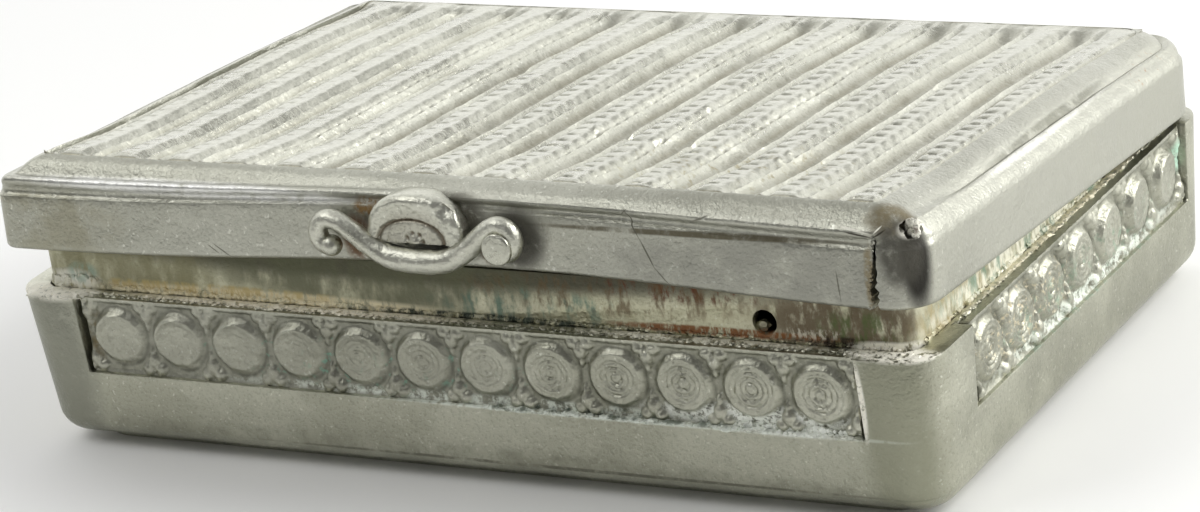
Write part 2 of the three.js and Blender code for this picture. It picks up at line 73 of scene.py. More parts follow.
def lidBow(x, y, share):    # the wall has sprung up in the middle, and the panel has sunk
    depth = lid["depth"]
    away = abs(x - lid["bowCentre"]) / lid["bowReach"]
    bow = lid["bowRise"] * math.exp(-away ** 2.5) * -y / depth
    lift = lid["lift"] * smooth(*(part * depth for part in lid["liftBand"]), -y)
    drop = lid["drop"] * smooth(*(part * depth for part in lid["dropBand"]), y)
    return bow * (1 - lid["bowFade"] * share) + (lift - drop) * share


# Materials

plainLook = {"grainMm": 0.24, "softMm": 1.8, "cloudMm": 7.0, "fleckMm": 0.34, "pits": 0.2, "flecks": 0.4,
             "grimeAndShade": 0.8, "dirtAndShade": "#57574a", "streak": 1, "metal": 1.0, "dullMetal": 0.15,
             "smoothest": 0.29, "roughest": 0.42, "specular": 0.35, "grainBump": 0.6,
             "grainDepth": 0.00009, "softBump": 0.5, "softDepth": 0.00025, "onLid": False}


def linear(hexText):    # sRGB hex to the linear colour that the shader takes
    parts = [int(hexText[i:i + 2], 16) / 255 for i in (1, 3, 5)]
    return [c / 12.92 if c <= 0.04045 else ((c + 0.055) / 1.055) ** 2.4 for c in parts] + [1.0]


def add(tree, kind, values=None, **settings):
    made = tree.nodes.new("ShaderNode" + kind)
    for key, value in settings.items():
        setattr(made, key, value)
    for key, value in (values or {}).items():
        if isinstance(value, bpy.types.NodeSocket):
            tree.links.new(value, made.inputs[key])
        else:
            made.inputs[key].default_value = value
    return made


def ramp(value, low, high, toLow=0.0, toHigh=1.0):    # smooth step between two values
    limits = {"From Min": low, "From Max": high, "To Min": toLow, "To Max": toHigh}
    return add(value.id_data, "MapRange", {"Value": value, **limits},
               interpolation_type="SMOOTHSTEP").outputs["Result"]


def times(first, second):
    return add(first.id_data, "Math", {0: first, 1: second}, operation="MULTIPLY").outputs[0]


def plus(first, second, stopAtOne=True):
    return add(first.id_data, "Math", {0: first, 1: second}, operation="ADD", use_clamp=stopAtOne).outputs[0]


def blendColour(amount, under, over):
    values = {0: amount, 6: under, 7: over}
    return add(amount.id_data, "Mix", values, data_type="RGBA", clamp_factor=True).outputs[2]


def spots(coords, millimetres, detail=3.0, roughness=0.6):
    values = {"Vector": coords, "Scale": 1.0 / millimetres, "Detail": detail, "Roughness": roughness}
    return add(coords.id_data, "TexNoise", values).outputs["Fac"]


def patch(coords, centre, radii, lean=0.0):    # 1 in the middle of an ellipsoid, 0 outside it
    values = {"Vector": coords, "Location": centre, "Rotation": (0, lean, 0), "Scale": radii}
    inside = add(coords.id_data, "Mapping", values, vector_type="TEXTURE").outputs[0]
    away = add(coords.id_data, "VectorMath", {0: inside}, operation="LENGTH").outputs["Value"]
    return ramp(away, 1.0, 0.5)


# A stain dulls the metal, and a tone only colours it. Each is a colour, the centre and radii of a patch,
# the size of its spots, the noise at which they start and are full, and an amount.
def pewterFinish(name, look, stains=(), tones=()):
    look = {**plainLook, **look}
    material = bpy.data.materials.new(name)
    material.use_nodes = True
    tree = material.node_tree
    shader = tree.nodes["Principled BSDF"]
    place = add(tree, "TexCoord").outputs["Object"]
    inMm = add(tree, "Mapping", {"Vector": place, "Scale": (1000, 1000, 1000)}).outputs[0]
    drawn = add(tree, "Mapping", {"Vector": inMm, "Scale": (1, 1, look["streak"])}).outputs[0]
    grain = spots(inMm, look["grainMm"], 3.0, 0.7)
    soft = spots(inMm, look["softMm"], 3.0)
    cloud = spots(inMm, look["cloudMm"], 4.0)
    fleck = spots(inMm, look["fleckMm"], 2.0)
    # the grime attribute carries dirt, and painted shade on the roundels and the ribbed panel
    hollow = add(tree, "Attribute", attribute_name="grimeAndShade").outputs["Fac"]
    colour = blendColour(ramp(cloud, 0.36, 0.66), linear(look["dark"]), linear(look["light"]))
    for mask, amount, over in (
            (ramp(grain, 0.50, 0.36), "pits", "deep"),
            (ramp(fleck, 0.62, 0.72), "flecks", "glint"), (hollow, "grimeAndShade", "dirtAndShade")):
        colour = blendColour(times(mask, look[amount]), colour, linear(look[over]))
    dull = times(hollow, 0.5)
    for mark in tones + stains:
        hexText, centre, radii, spotMm, low, high, amount, *lean = mark
        centre = tuple(ajar @ Vector(centre)) if look["onLid"] else centre
        mask = ramp(spots(drawn, spotMm, 4.0, 0.65), low - 0.02, high + 0.05)
        mask = times(times(mask, amount), patch(inMm, centre, radii, *lean))
        colour = blendColour(mask, colour, linear(hexText))
        if mark in stains:
            dull = plus(dull, mask)
    rubbed = ramp(cloud, 0.3, 0.7, look["smoothest"], look["roughest"])
    fine = add(tree, "Bump", {"Height": grain, "Strength": look["grainBump"], "Distance": look["grainDepth"]})
    bumps = add(tree, "Bump", {"Height": soft, "Strength": look["softBump"], "Distance": look["softDepth"],
                               "Normal": fine.outputs[0]})
    shader.inputs["Specular IOR Level"].default_value = look["specular"]
    for socket, value in (("Base Color", colour), ("Roughness", plus(rubbed, times(dull, 0.3))),
                          ("Metallic", ramp(dull, 0.0, 1.0, look["metal"], look["dullMetal"])),
                          ("Normal", bumps.outputs[0])):
        tree.links.new(value, shader.inputs[socket])
    return material


# Scratches on the lid's front by colour, each from x, z to x, z with a width
lidFront = -46.6
lidScratches = {
    "#5c5b4e": ((15.0, 6.1, 16.06, 3.89, 0.07), (16.06, 3.95, 16.95, 2.0, 0.08)),
    "#6a695c": ((16.9, 2.1, 18.05, 0.8, 0.06), (14.8, 5.5, 15.3, 5.95, 0.06),
                (30.06, 2.76, 30.21, 0.77, 0.06)),
    "#77766a": ((19.9, 5.3, 21.2, 5.8, 0.09), (-17.66, 1.62, -16.16, 0.64, 0.07),
                (-18.1, 1.5, -17.2, 0.9, 0.06)),
    "#2c2719": ((30.9, 5.32, 32.75, 5.02, 0.09), (32.8, 5.0, 33.7, 5.55, 0.08)),
    "#f0eee0": ((30.4, 5.62, 32.6, 5.28, 0.10), (32.9, 5.3, 33.4, 5.75, 0.07))}


def scratch(hexText, x0, z0, x1, z1, width):    # a stain drawn out to a thin line
    along, up = x1 - x0, z1 - z0
    return (hexText, ((x0 + x1) / 2, lidFront, (z0 + z1) / 2), (width, 1.0, 0.62 * math.hypot(along, up)),
            0.3, -1.0, 0.0, 0.9, math.atan2(along, up))


# Sand-cast and never polished: dull grey with fine pits, white crust on the two front corners; painted shade
# darkens the front corners, the lower rounding of the front and a thin line above the foot
castPewter = pewterFinish("sandCastPewter", {
    "light": "#bcbcac", "dark": "#a6a696", "deep": "#5a5b4d", "glint": "#e6e7da"}, (
    # painted shade: a darker band round the lower rounding of the front, and a thin dark line above the foot
    ("#7b7b6a", (0, -22.6, 2.2), (44, 3, 1.1), 3, 0.4, 0.62, 0.45),
    ("#4f4e3c", (8, -22, 1.9), (32, 2.2, 0.2), 1.8, 0.32, 0.54, 0.7),
    ("#fbf8ea", (-32.4, -22.2, 12.1), (4.4, 1.8, 1), 0.5, 0.3, 0.44, 1),
    ("#fbf8ea", (32.9, -22, 12), (4.6, 1.8, 0.5), 0.4, 0.38, 0.48, 1),
    ("#fbf8ea", (30.65, -23.2, 8.8), (0.4, 1.6, 3.6), 0.3, 0.34, 0.46, 1),
    ("#eef4ea", (12, -22.9, 6.16), (24, 1.5, 0.32), 0.6, 0.34, 0.5, 0.9),
    ("#f6f9f1", (25, -22.5, 6.4), (7, 1, 0.7), 0.5, 0.26, 0.44, 0.95),
    ("#f8f1dc", (-12, -21.9, 12), (21, 0.85, 0.5), 0.6, 0.3, 0.48, 0.95),
    ("#f2efdc", (18, -21.9, 12), (14, 0.8, 0.5), 0.6, 0.36, 0.52, 0.9),
    ("#e4dcc0", (34.4, 0, 12), (0.8, 21, 0.4), 0.6, 0.34, 0.52, 0.9),
    ("#4d5a48", (9, -22.6, 6.35), (20, 1.5, 0.35), 1.6, 0.5, 0.58, 0.8),
    ("#8fa694", (35.4, 2, 6.3), (1.5, 19, 0.5), 0.8, 0.46, 0.58, 0.7)), (
    ("#8f8f80", (5, -23, 9), (3, 2, 9), 2.4, 0.52, 0.66, 0.3),
    # painted shade: the two front corners are toned darker
    ("#8b8c79", (33.2, -23.6, 6), (3.8, 3.1, 15), 2, 0.05, 0.4, 0.8),
    ("#85867a", (-33.4, -23.8, 5.5), (4.6, 3.1, 14), 2, 0.05, 0.4, 0.85)))
# The foot is painted paler than the tray, painted light against the shade where it meets the floor
footPewter = pewterFinish("paintedLightFootPewter", {
    "light": "#c9c9bd", "dark": "#b4b4a8", "deep": "#5c5d52", "glint": "#c8c9be"})
# Handled with snuff on it: brown and ochre film, green and rust where it touches the tray, and a painted
# shadow along its top under the lid
lipPewter = pewterFinish("tarnishedPewter", {
    "light": "#c8c6ae", "dark": "#adab92", "deep": "#5a5543", "glint": "#d0d2bf", "grainMm": 0.3,
    "flecks": 0.3, "streak": 0.4}, (
    # painted shadow along the top of the lip, under the lid's edge
    ("#3d3b29", (-4, -21.3, 15.5), (36, 1.5, 1.9), 3, 0.1, 0.4, 0.85),
    ("#8b8763", (-27, -21.3, 13.6), (12, 1.5, 2.4), 2.2, 0.3, 0.6, 0.8),
    ("#66684f", (-6, -21.3, 14.2), (17, 1.5, 2.6), 2, 0.26, 0.54, 0.85),
    ("#f6eccb", (-16, -21.4, 12.2), (19, 1.5, 0.6), 0.7, 0.34, 0.5, 0.95),
    ("#c2ae76", (-20, -21.3, 12.5), (15, 1.5, 0.5), 0.7, 0.44, 0.56, 0.8),
    ("#f0efe2", (-31.6, -21.4, 12.4), (2.9, 1.5, 1.1), 0.5, 0.3, 0.46, 0.95),
    ("#9db8a8", (-30.6, -21.3, 13.1), (1.6, 1.5, 1), 0.6, 0.42, 0.56, 0.6),
    ("#5f8577", (6, -21.3, 13), (9, 1.5, 1.6), 1, 0.48, 0.6, 0.7),
    ("#3b473c", (2, -21.4, 12), (14, 1.5, 0.35), 0.5, 0.44, 0.54, 0.9),
    ("#6b3a1e", (18, -21.3, 15), (9, 1.5, 1.2), 0.7, 0.5, 0.6, 0.9),
    ("#564022", (29.3, -21.3, 13.6), (8.2, 2, 2.6), 0.9, 0.36, 0.5, 0.8),
    ("#5f6b3f", (30.5, -21.3, 13), (4, 2, 1.8), 0.7, 0.46, 0.58, 0.9),
    ("#8a5526", (20.5, -21.35, 12.3), (11, 1.5, 0.36), 0.4, 0.38, 0.5, 0.9),
    ("#6e5a3c", (12, -21.3, 14.2), (14, 1.5, 1.8), 0.8, 0.48, 0.6, 0.7),
    ("#2e2315", (29.5, -21.4, 12.1), (5, 2, 0.6), 0.5, 0.44, 0.54, 0.95),
    ("#e4dfcb", (26.9, -21.3, 12.6), (2.9, 1.5, 0.5), 0.3, 0.46, 0.56, 0.7),
    ("#fbf8ea", (32.4, -21.2, 12), (3.4, 2.2, 0.55), 0.4, 0.38, 0.48, 1),
    ("#b8aa80", (34, -15, 13), (1.5, 7, 2), 0.8, 0.4, 0.56, 0.85),
    ("#f6f4e2", (34, -4, 12.6), (1.5, 20, 1.1), 0.7, 0.36, 0.52, 0.95),
    ("#7d9a86", (34, 2, 12.9), (1.5, 24, 1.6), 1.1, 0.48, 0.58, 0.85)))
# Cast in a carved mould: bright on the worn faces, with dirt and white-green salts below, and painted shade
# on the lower right of each roundel
roundelPewter = pewterFinish("cameoPewter", {
    "light": "#bfbfb0", "dark": "#a8a899", "deep": "#5f6052", "glint": "#eceee2", "dirtAndShade": "#4c4d3e",
    "grimeAndShade": 0.85}, (
    ("#f4f7ee", (22, -22.2, 6.9), (11, 0.62, 1.3), 0.5, 0.4, 0.5, 1),
    ("#e6ece0", (2, -22.2, 6.4), (30, 0.62, 0.6), 0.6, 0.44, 0.56, 0.9),
    ("#dfe4d6", (24, -22, 9.2), (9, 0.5, 3), 0.5, 0.5, 0.58, 0.8),
    ("#7fae98", (-8, -22.2, 8.4), (20, 0.6, 2.6), 0.7, 0.56, 0.62, 0.8),
    ("#3f5144", (12, -22.2, 6.3), (16, 0.6, 0.5), 0.8, 0.52, 0.6, 0.9),
    ("#8fa48f", (35.1, 2, 8), (0.9, 19, 2.6), 0.8, 0.52, 0.62, 0.8),
    ("#e9efe3", (35.1, 2, 6.6), (0.9, 19, 0.8), 0.5, 0.42, 0.54, 0.95),
    ("#e4d8b8", (35.1, -8, 9), (0.9, 12, 3), 0.5, 0.54, 0.62, 0.8),
    ("#c8ecd4", (35.6, 19, 9.6), (1.2, 1, 1.6), 0.5, 0.3, 0.5, 0.95),
    ("#7a6d49", (-29.6, -22.3, 9), (1, 0.7, 3), 0.7, 0.4, 0.6, 0.8)), (
    ("#85857a", (-14, -22.4, 9), (24, 1.4, 8), 2.5, 0.2, 0.56, 0.45),))
# Wiped smooth by hands, with soft brown tarnish at the cracked corner and behind the scrolls; painted shadows
# beside the shell and the right volute, painted highlights on the front bead and the right border's ridge,
# and painted shade in that border's cove
lidPewter = pewterFinish("wornPewter", {
    "light": "#b6b6aa", "dark": "#a7a79b", "deep": "#6e6e61", "glint": "#ecede2", "grimeAndShade": 0.7,
    "dirtAndShade": "#6a654b", "onLid": True}, (
    ("#51492f", (20, -46.45, 4.5), (15, 0.9, 0.26), 1.4, 0.26, 0.5, 0.85),
    ("#6b6146", (33.7, -45.3, 5.9), (2.2, 1.9, 1.3), 1.1, 0.22, 0.5, 0.9),
    ("#24221b", (35.35, -45.8, 3.5), (1.2, 1.8, 4.4), 1, 0.05, 0.36, 1),
    ("#4d4b42", (34.5, -46.2, 4.2), (1.9, 2.2, 3.2), 1, 0.16, 0.48, 0.9),
    ("#8f8468", (32.4, -46.6, 2.5), (0.45, 0.9, 3), 0.3, 0.36, 0.5, 0.9),
    ("#f1efe2", (35.35, -45.6, 5.45), (1.3, 1.3, 0.95), 0.25, 0.3, 0.42, 0.95),
    ("#6d5f55", (35.3, -45.6, 5.3), (0.4, 0.6, 0.4), 0.25, 0.34, 0.46, 0.8),
    ("#6b4a28", (-5.7, -46.5, 2.8), (1.5, 0.9, 2.1), 0.6, 0.34, 0.5, 0.9),
    ("#8a6a35", (-4.6, -46.5, 5), (1.5, 0.9, 0.9), 0.6, 0.36, 0.5, 0.9),
    ("#5c4426", (4.7, -46.5, 2.6), (1.2, 0.9, 1.4), 0.6, 0.36, 0.5, 0.9),
    # painted shadows beside the shell and to the right of the right volute
    ("#3c3829", (1.9, -46.4, 4.1), (3.6, 0.9, 3.2), 0.8, 0.2, 0.46, 0.85),
    ("#45433a", (6.75, -46.5, 3.4), (2.8, 0.9, 2.8), 0.9, 0.15, 0.42, 0.9),
    *(scratch(colour, *line) for colour, lines in lidScratches.items() for line in lines),
    ("#9a6b3c", (35.2, -7, 5.1), (1.5, 7, 0.9), 0.5, 0.6, 0.66, 0.8)), (
    ("#b4b4a8", (35.6, -19, 4), (4.8, 29, 8), 2, 0.1, 0.4, 0.9),
    # painted highlight along the ridge of the right border
    ("#f4f4ec", (34.9, -24, 5.45), (0.5, 32, 0.9), 1.4, 0.2, 0.5, 0.5),
    # painted highlight along the left part of the front bead
    ("#ffffff", (-19, -46.3, 5.35), (18, 0.8, 0.75), 1.6, 0.26, 0.5, 0.5),
    # painted shade in the cove inside the right border's ridge
    ("#6f6f62", (34.2, -24, 5.25), (0.42, 32, 0.9), 1.6, 0.26, 0.5, 0.7),
    ("#8f8f83", (24, -45.3, 6.2), (14, 1.4, 1.2), 3, 0.1, 0.56, 0.6),
    ("#9a9a8e", (-22, -45.3, 6.2), (14, 1.4, 1.2), 3, 0.1, 0.56, 0.5),
    ("#8f8c78", (-32, -46.6, 2.4), (9, 1.2, 3.4), 3, 0.3, 0.6, 0.7),
    ("#8f8f86", (24, -46.6, 2), (15, 1.2, 3.6), 2.5, 0.2, 0.56, 0.75)))
# The same metal worn bright on the ropes, with ochre dirt left in the grooves, and painted shade on the
# flutes' left walls and in the grooves right of the ropes
panelPewter = pewterFinish("ribbedPewter", {
    "light": "#bfbfb3", "dark": "#acaca0", "deep": "#6f6f62", "glint": "#f2f3ea", "dirtAndShade": "#777056",
    "grimeAndShade": 0.8, "pits": 0.25, "flecks": 0.3, "grainBump": 0.4, "smoothest": 0.24, "roughest": 0.36,
    "onLid": True}, (
    ("#deded2", (15, -33, 6.4), (9, 6, 1.5), 1.2, 0.56, 0.66, 0.4),
    ("#8b815d", (20, -38, 6.2), (14, 7, 1.5), 0.8, 0.56, 0.66, 0.6)), (
    ("#a3a396", (18, -40, 6.4), (17, 6, 1.8), 1.6, 0.3, 0.62, 0.7),))
# Polished by thumbs, with brown dirt in the corners
thumbPewter = pewterFinish("handledPewter", {
    "light": "#cbcbbe", "dark": "#bcbcae", "deep": "#66645a", "glint": "#f2f3e8", "dirtAndShade": "#5a4526",
    "grimeAndShade": 0.8, "smoothest": 0.25, "roughest": 0.36, "onLid": True}, (
    ("#6a4a25", (-4.4, -47.2, 4.2), (1.5, 0.8, 1.3), 0.5, 0.4, 0.52, 0.85),
    ("#4a3a22", (3.9, -47, 4.8), (1.4, 0.8, 1.2), 0.5, 0.34, 0.5, 0.9)))
# Left plain and matt behind, where no hand rubs it
hingePewter = pewterFinish("solderedPewter", {
    "light": "#b3b3a5", "dark": "#9f9f92", "deep": "#5f6054", "glint": "#d8d9cc"})
# Dull yellow wire, the one other metal on the box
pinBrass = pewterFinish("drawnBrass", {
    "light": "#c0a868", "dark": "#ab9355", "deep": "#5c4c2a", "glint": "#dcc88c"})
print("materials made")


# Shared modelling

def weld(bm, reach=0.001):
    bmesh.ops.remove_doubles(bm, verts=bm.verts, dist=reach)


def asObject(name, bm):
    mesh = bpy.data.meshes.new(name)
    bm.to_mesh(mesh)
    made = bpy.data.objects.new(name, mesh)
    bpy.context.scene.collection.objects.link(made)
    return made


def finishPiece(name, bm, finish, bodyName, nodes, crease=38):
    weld(bm)
    if bodyName == "lid":
        bmesh.ops.transform(bm, matrix=ajar, verts=bm.verts)
    bmesh.ops.scale(bm, vec=(0.001, 0.001, 0.001), verts=bm.verts)
    bmesh.ops.recalc_face_normals(bm, faces=bm.faces)
    piece = asObject(name, bm)
    bm.free()
    mesh = piece.data
    mesh.shade_smooth()
    mesh.set_sharp_from_angle(angle=math.radians(crease))
    mesh.materials.append(finish)
    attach(piece, bodyName)
    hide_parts(*nodes)
    print("piece", name, len(mesh.polygons), "faces")


def move(bm, way, verts=None):
    bmesh.ops.translate(bm, vec=way, verts=verts or bm.verts)


def quarterTurn(bm, axis, verts=None):
    bmesh.ops.rotate(bm, matrix=Matrix.Rotation(math.pi / 2, 3, axis), verts=verts or bm.verts)


def bevel(bm, edges, radius, steps, clampOverlap=False):
    bmesh.ops.bevel(bm, geom=edges, offset=radius, segments=steps, profile=0.5, affect="EDGES",
                    material=-1, clamp_overlap=clampOverlap)


def openEdges(bm):
    return [e for e in bm.edges if len(e.link_faces) == 1]


def uprightEdges(bm):
    return [e for e in bm.edges if abs(e.verts[0].co.z - e.verts[1].co.z) > 1e-4]


def levelEdges(bm, z):
    return [e for e in bm.edges if all(abs(v.co.z - z) < 0.01 for v in e.verts)]


def newVerts(pulled):    # the points that an extrusion made
    return [g for g in pulled["geom"] if isinstance(g, bmesh.types.BMVert)]


def drawOut(bm, verts, way):    # the face over these points becomes a solid
    pulled = bmesh.ops.extrude_face_region(bm, geom=[bm.faces.new(verts)])
    move(bm, way, newVerts(pulled))


def closeHoles(bm):
    bmesh.ops.holes_fill(bm, edges=openEdges(bm), sides=0)


def closeBehind(bm, axis, level):    # walls from the open edges to a flat back
    for vert in newVerts(bmesh.ops.extrude_edge_only(bm, edges=openEdges(bm))):
        vert.co[axis] = level
    bmesh.ops.contextual_create(bm, geom=openEdges(bm))


def cylinder(bm, radius, depth, segments):
    return bmesh.ops.create_cone(bm, cap_ends=True, segments=segments, radius1=radius, radius2=radius,
                                 depth=depth)["verts"]


def sheet(columns, rows, place, reach=0.001):    # a new grid whose points move to place(column, row)
    bm = bmesh.new()
    grimeAndShade = bm.verts.layers.float.new("grimeAndShade")
    for vert in bmesh.ops.create_grid(bm, x_segments=columns, y_segments=rows, size=1)["verts"]:
        put = place(round((vert.co.x + 1) / 2 * columns), round((vert.co.y + 1) / 2 * rows))
        vert.co = Vector(put[:3])
        if len(put) > 3:
            vert[grimeAndShade] = clamp(put[3])
    weld(bm, reach)
    return bm


def block(low, high, radius=0):    # a new block with its upright edges rounded
    bm = bmesh.new()
    bmesh.ops.create_cube(bm, size=1)
    bmesh.ops.scale(bm, vec=[b - a for a, b in zip(low, high)], verts=bm.verts)
    move(bm, [(a + b) / 2 for a, b in zip(low, high)])
    if radius:
        bevel(bm, uprightEdges(bm), radius, 8)
    return bm


def cut(bm, cutters):    # takes each cutter's solid out of bm
    weld(bm)
    bmesh.ops.recalc_face_normals(bm, faces=bm.faces)
    blank = asObject("blank", bm)
    tools = []
    for cutter in cutters:
        bmesh.ops.recalc_face_normals(cutter, faces=cutter.faces)
        tools.append(asObject("tool", cutter))
        cutter.free()
        modifier = blank.modifiers.new("cut", "BOOLEAN")
        modifier.operation = "DIFFERENCE"
        modifier.solver = "EXACT"
        modifier.object = tools[-1]
    result = blank.evaluated_get(bpy.context.evaluated_depsgraph_get()).to_mesh()
    bm.clear()
    bm.from_mesh(result)
    for thing in tools + [blank]:
        data = thing.data
        bpy.data.objects.remove(thing)
        bpy.data.meshes.remove(data)
    weld(bm, 0.002)


def softenEdges(bm, radius, angle=60, where=lambda middle: True):
    sharp = [e for e in bm.edges if len(e.link_faces) == 2 and e.calc_face_angle(0) > math.radians(angle)
             and where((e.verts[0].co + e.verts[1].co) / 2)]
    bevel(bm, sharp, radius, 2, True)


def crust(bm, grains, seed, fineness=2):    # rough lumps: (x, y, z, radius across, radius deep, radius high)
    for number, (x, y, z, *radii) in enumerate(grains):
        for vert in bmesh.ops.create_icosphere(bm, subdivisions=fineness, radius=1)["verts"]:
            way = vert.co.copy()
            push = 1 + 0.6 * rough(way.x * 1.7 + 5 * number, way.y * 1.7, way.z * 1.7 + seed)
            vert.co = Vector((x, y, z)) + Vector([w * r * push for w, r in zip(way, radii)])


def crustRows(bm, base, rows):    # lumps along lines: ends counted from base, how many, their radii, a seed
    for start, end, count, radii, seed in rows:
        start, end = (Vector([b + p for b, p in zip(base, place)]) for place in (start, end))
        for number in range(count):
            share = (number + 0.5 + 0.4 * rough(number, seed)) / count
            grow = 0.75 + 0.7 * rough(number * 1.7, seed + 3)
            crust(bm, [(*start.lerp(end, share), *(r * grow for r in radii))], seed + number)


# Tray

tray = {
    "lowerRadius": 1.8, "cavityFoot": 0.96, "recessDepth": 1.25, "recessHeight": 5.8,
    "frontHalf": 30.5, "sideHalf": 18.0, "sideShift": 1.5, "edgeWear": 0.14, "crustTop": 12.02,
    "cornerCrust": ((-33.6, 0.75, -0.12, 1.3, 0.7, 0.26), (-31.6, 0.55, -0.1, 1.4, 0.6, 0.24),
                    (-30.6, 0.9, -0.1, 1.1, 0.7, 0.23)),
    "rimCrust": (
        ((29.8, 0.9, -0.1), (35.0, 1.3, -0.1), 13, (0.5, 0.5, 0.21), 11),
        ((31.0, 0.35, -0.1), (34.4, 0.6, -0.12), 7, (0.36, 0.3, 0.17), 17),
        ((-30.2, 1.3, -0.08), (30.0, 1.35, -0.1), 120, (0.42, 0.33, 0.17), 61),
        ((-30.2, 0.95, -0.12), (30.0, 1.0, -0.14), 100, (0.34, 0.22, 0.14), 67)),
    "recessCrust": (
        ((2, 0.45, 0.02), (30.2, 0.45, 0.08), 60, (0.42, 0.4, 0.18), 73),
        ((19, 0.7, 0.2), (30.2, 0.7, 0.3), 26, (0.36, 0.25, 0.3), 79)),
    "sideCrust": (((34.55, 6.25, -0.08), (34.55, 42.75, -0.08), 90, (0.3, 0.42, 0.16), 71),)}
recessFloor = body["rim"] - tray["recessHeight"]
overshoot = 2    # how far a cutter reaches past the solid


def makeTray():
    halfX, halfY, rim, foot = body["halfX"], body["halfY"], body["rim"], body["foot"]
    innerX, innerY = halfX - body["wall"], halfY - body["wall"]
    lean = math.tan(math.radians(body["draft"])) * (rim - foot)
    bm = block((-halfX, -halfY, foot), (halfX, halfY, rim))
    for vert in bm.verts:    # the walls lean out towards the rim
        if vert.co.z < rim - 1:
            vert.co.x *= 1 - lean / halfX
            vert.co.y *= 1 - lean / halfY
    bevel(bm, uprightEdges(bm), body["cornerRadius"], 12)
    bevel(bm, levelEdges(bm, foot), tray["lowerRadius"], 8)

    def within(place, room):
        return abs(place.x) < innerX + room and abs(place.y) < innerY + room

    top = [f for f in bm.faces if f.normal.z > 0.9]
    bmesh.ops.inset_region(bm, faces=top, thickness=body["wall"], use_even_offset=True)
    top = [f for f in bm.faces if f.normal.z > 0.9 and all(within(v.co, 0.05) for v in f.verts)]
    pulled = bmesh.ops.extrude_face_region(bm, geom=top)
    bmesh.ops.delete(bm, geom=top, context="FACES_ONLY")
    move(bm, (0, 0, foot + body["floor"] - rim), newVerts(pulled))
    bevel(bm, levelEdges(bm, foot + body["floor"]), tray["cavityFoot"], 4)
    high, depth = rim + overshoot, tray["recessDepth"]
    cutters = [block((-tray["frontHalf"], -halfY - overshoot, recessFloor),
                    (tray["frontHalf"], -halfY + depth, high))]
    for side in (-1, 1):
        near, far = sorted((side * (halfX - depth), side * (halfX + overshoot)))
        cutters.append(block((near, tray["sideShift"] - tray["sideHalf"], recessFloor),
                            (far, tray["sideShift"] + tray["sideHalf"], high)))
    half = hinge["length"] / 2 + hinge["room"]
    cutters.append(block((-half, hinge["y"] - hinge["bearerDepth"], hinge["z"] - hinge["bearerHeight"]),
                        (half, hinge["y"] + overshoot, high)))
    cut(bm, cutters)
    softenEdges(bm, tray["edgeWear"], 50, lambda p: p.z > recessFloor - 0.5 and not within(p, -0.05))
    crust(bm, [(x, -halfY + y, rim + z, *radii) for x, y, z, *radii in tray["cornerCrust"]], 3)
    crustRows(bm, (0, -halfY, rim), tray["rimCrust"])
    crustRows(bm, (0, -halfY, recessFloor), tray["recessCrust"])
    crustRows(bm, (0, -halfY, rim), tray["sideCrust"])
    for vert in bm.verts:    # crust stays under the closed lid
        vert.co.z = min(vert.co.z, tray["crustTop"])
    finishPiece("trayBody", bm, castPewter, "box", ["body_shell"], crease=30)


makeTray()


# Foot plate

footForm = {"inset": 2.2, "radius": 3.1, "edge": 0.28}


def makeFoot():
    wall = body["rim"] - body["foot"] - tray["lowerRadius"]
    inset = math.tan(math.radians(body["draft"])) * wall + footForm["inset"]
    halfX, halfY = body["halfX"] - inset, body["halfY"] - inset
    bm = block((-halfX, -halfY, 0), (halfX, halfY, body["foot"]), footForm["radius"])
    bevel(bm, levelEdges(bm, 0), footForm["edge"], 3)
    finishPiece("footPlate", bm, footPewter, "box", ["base_plate"])


makeFoot()


# Inner lip

lip = {
    "seam": 0.1, "thickness": 0.9, "low": 8.7, "high": 15.55, "radius": 1.4, "innerRadius": 0.7,
    "edgeWear": 0.12, "holeX": 23.5, "holeZ": 13.15, "holeRadius": 0.85, "crustFoot": 0.05,
    "lump": (-0.35, 0.5, -0.4, 0.5, 0.3, 0.35),    # it fills part of the hole
    "frontCrust": (
        ((-33.2, -0.02, 0.1), (33.2, -0.02, 0), 150, (0.42, 0.24, 0.24), 23),
        ((-33.2, -0.02, 0.4), (-29.4, -0.02, 0.35), 14, (0.5, 0.26, 0.55), 29),
        ((-28.8, 0, 0.28), (-6, 0, 0.12), 34, (0.4, 0.16, 0.2), 31)),
    "sideCrust": (((0.02, -20, 0), (0.02, 19, 0), 80, (0.24, 0.5, 0.26), 37),)}


def makeLip():
    outerX = body["halfX"] - body["wall"] - lip["seam"]
    outerY = body["halfY"] - body["wall"] - lip["seam"]
    thick, low, high = lip["thickness"], lip["low"], lip["high"]
    holeX, holeZ = lip["holeX"], lip["holeZ"]
    bm = block((-outerX, -outerY, low), (outerX, outerY, high), lip["radius"])
    hollow = block((-outerX + thick, -outerY + thick, low - overshoot),
                  (outerX - thick, outerY - thick, high + overshoot), lip["innerRadius"])
    drill = bmesh.new()
    cylinder(drill, lip["holeRadius"], 4 * thick, 48)
    quarterTurn(drill, "X")
    move(drill, (holeX, -outerY, holeZ))
    cut(bm, [hollow, drill])
    softenEdges(bm, lip["edgeWear"])
    foot = body["rim"] + lip["crustFoot"]
    crustRows(bm, (0, -outerY, foot), lip["frontCrust"])
    crustRows(bm, (outerX, 0, foot), lip["sideCrust"])
    x, y, z, *radii = lip["lump"]
    crust(bm, [(holeX + x, -outerY + y, holeZ + z, *radii)], 41)
    finishPiece("innerLip", bm, lipPewter, "box", ["lip_frame"])


makeLip()


# Roundel strips

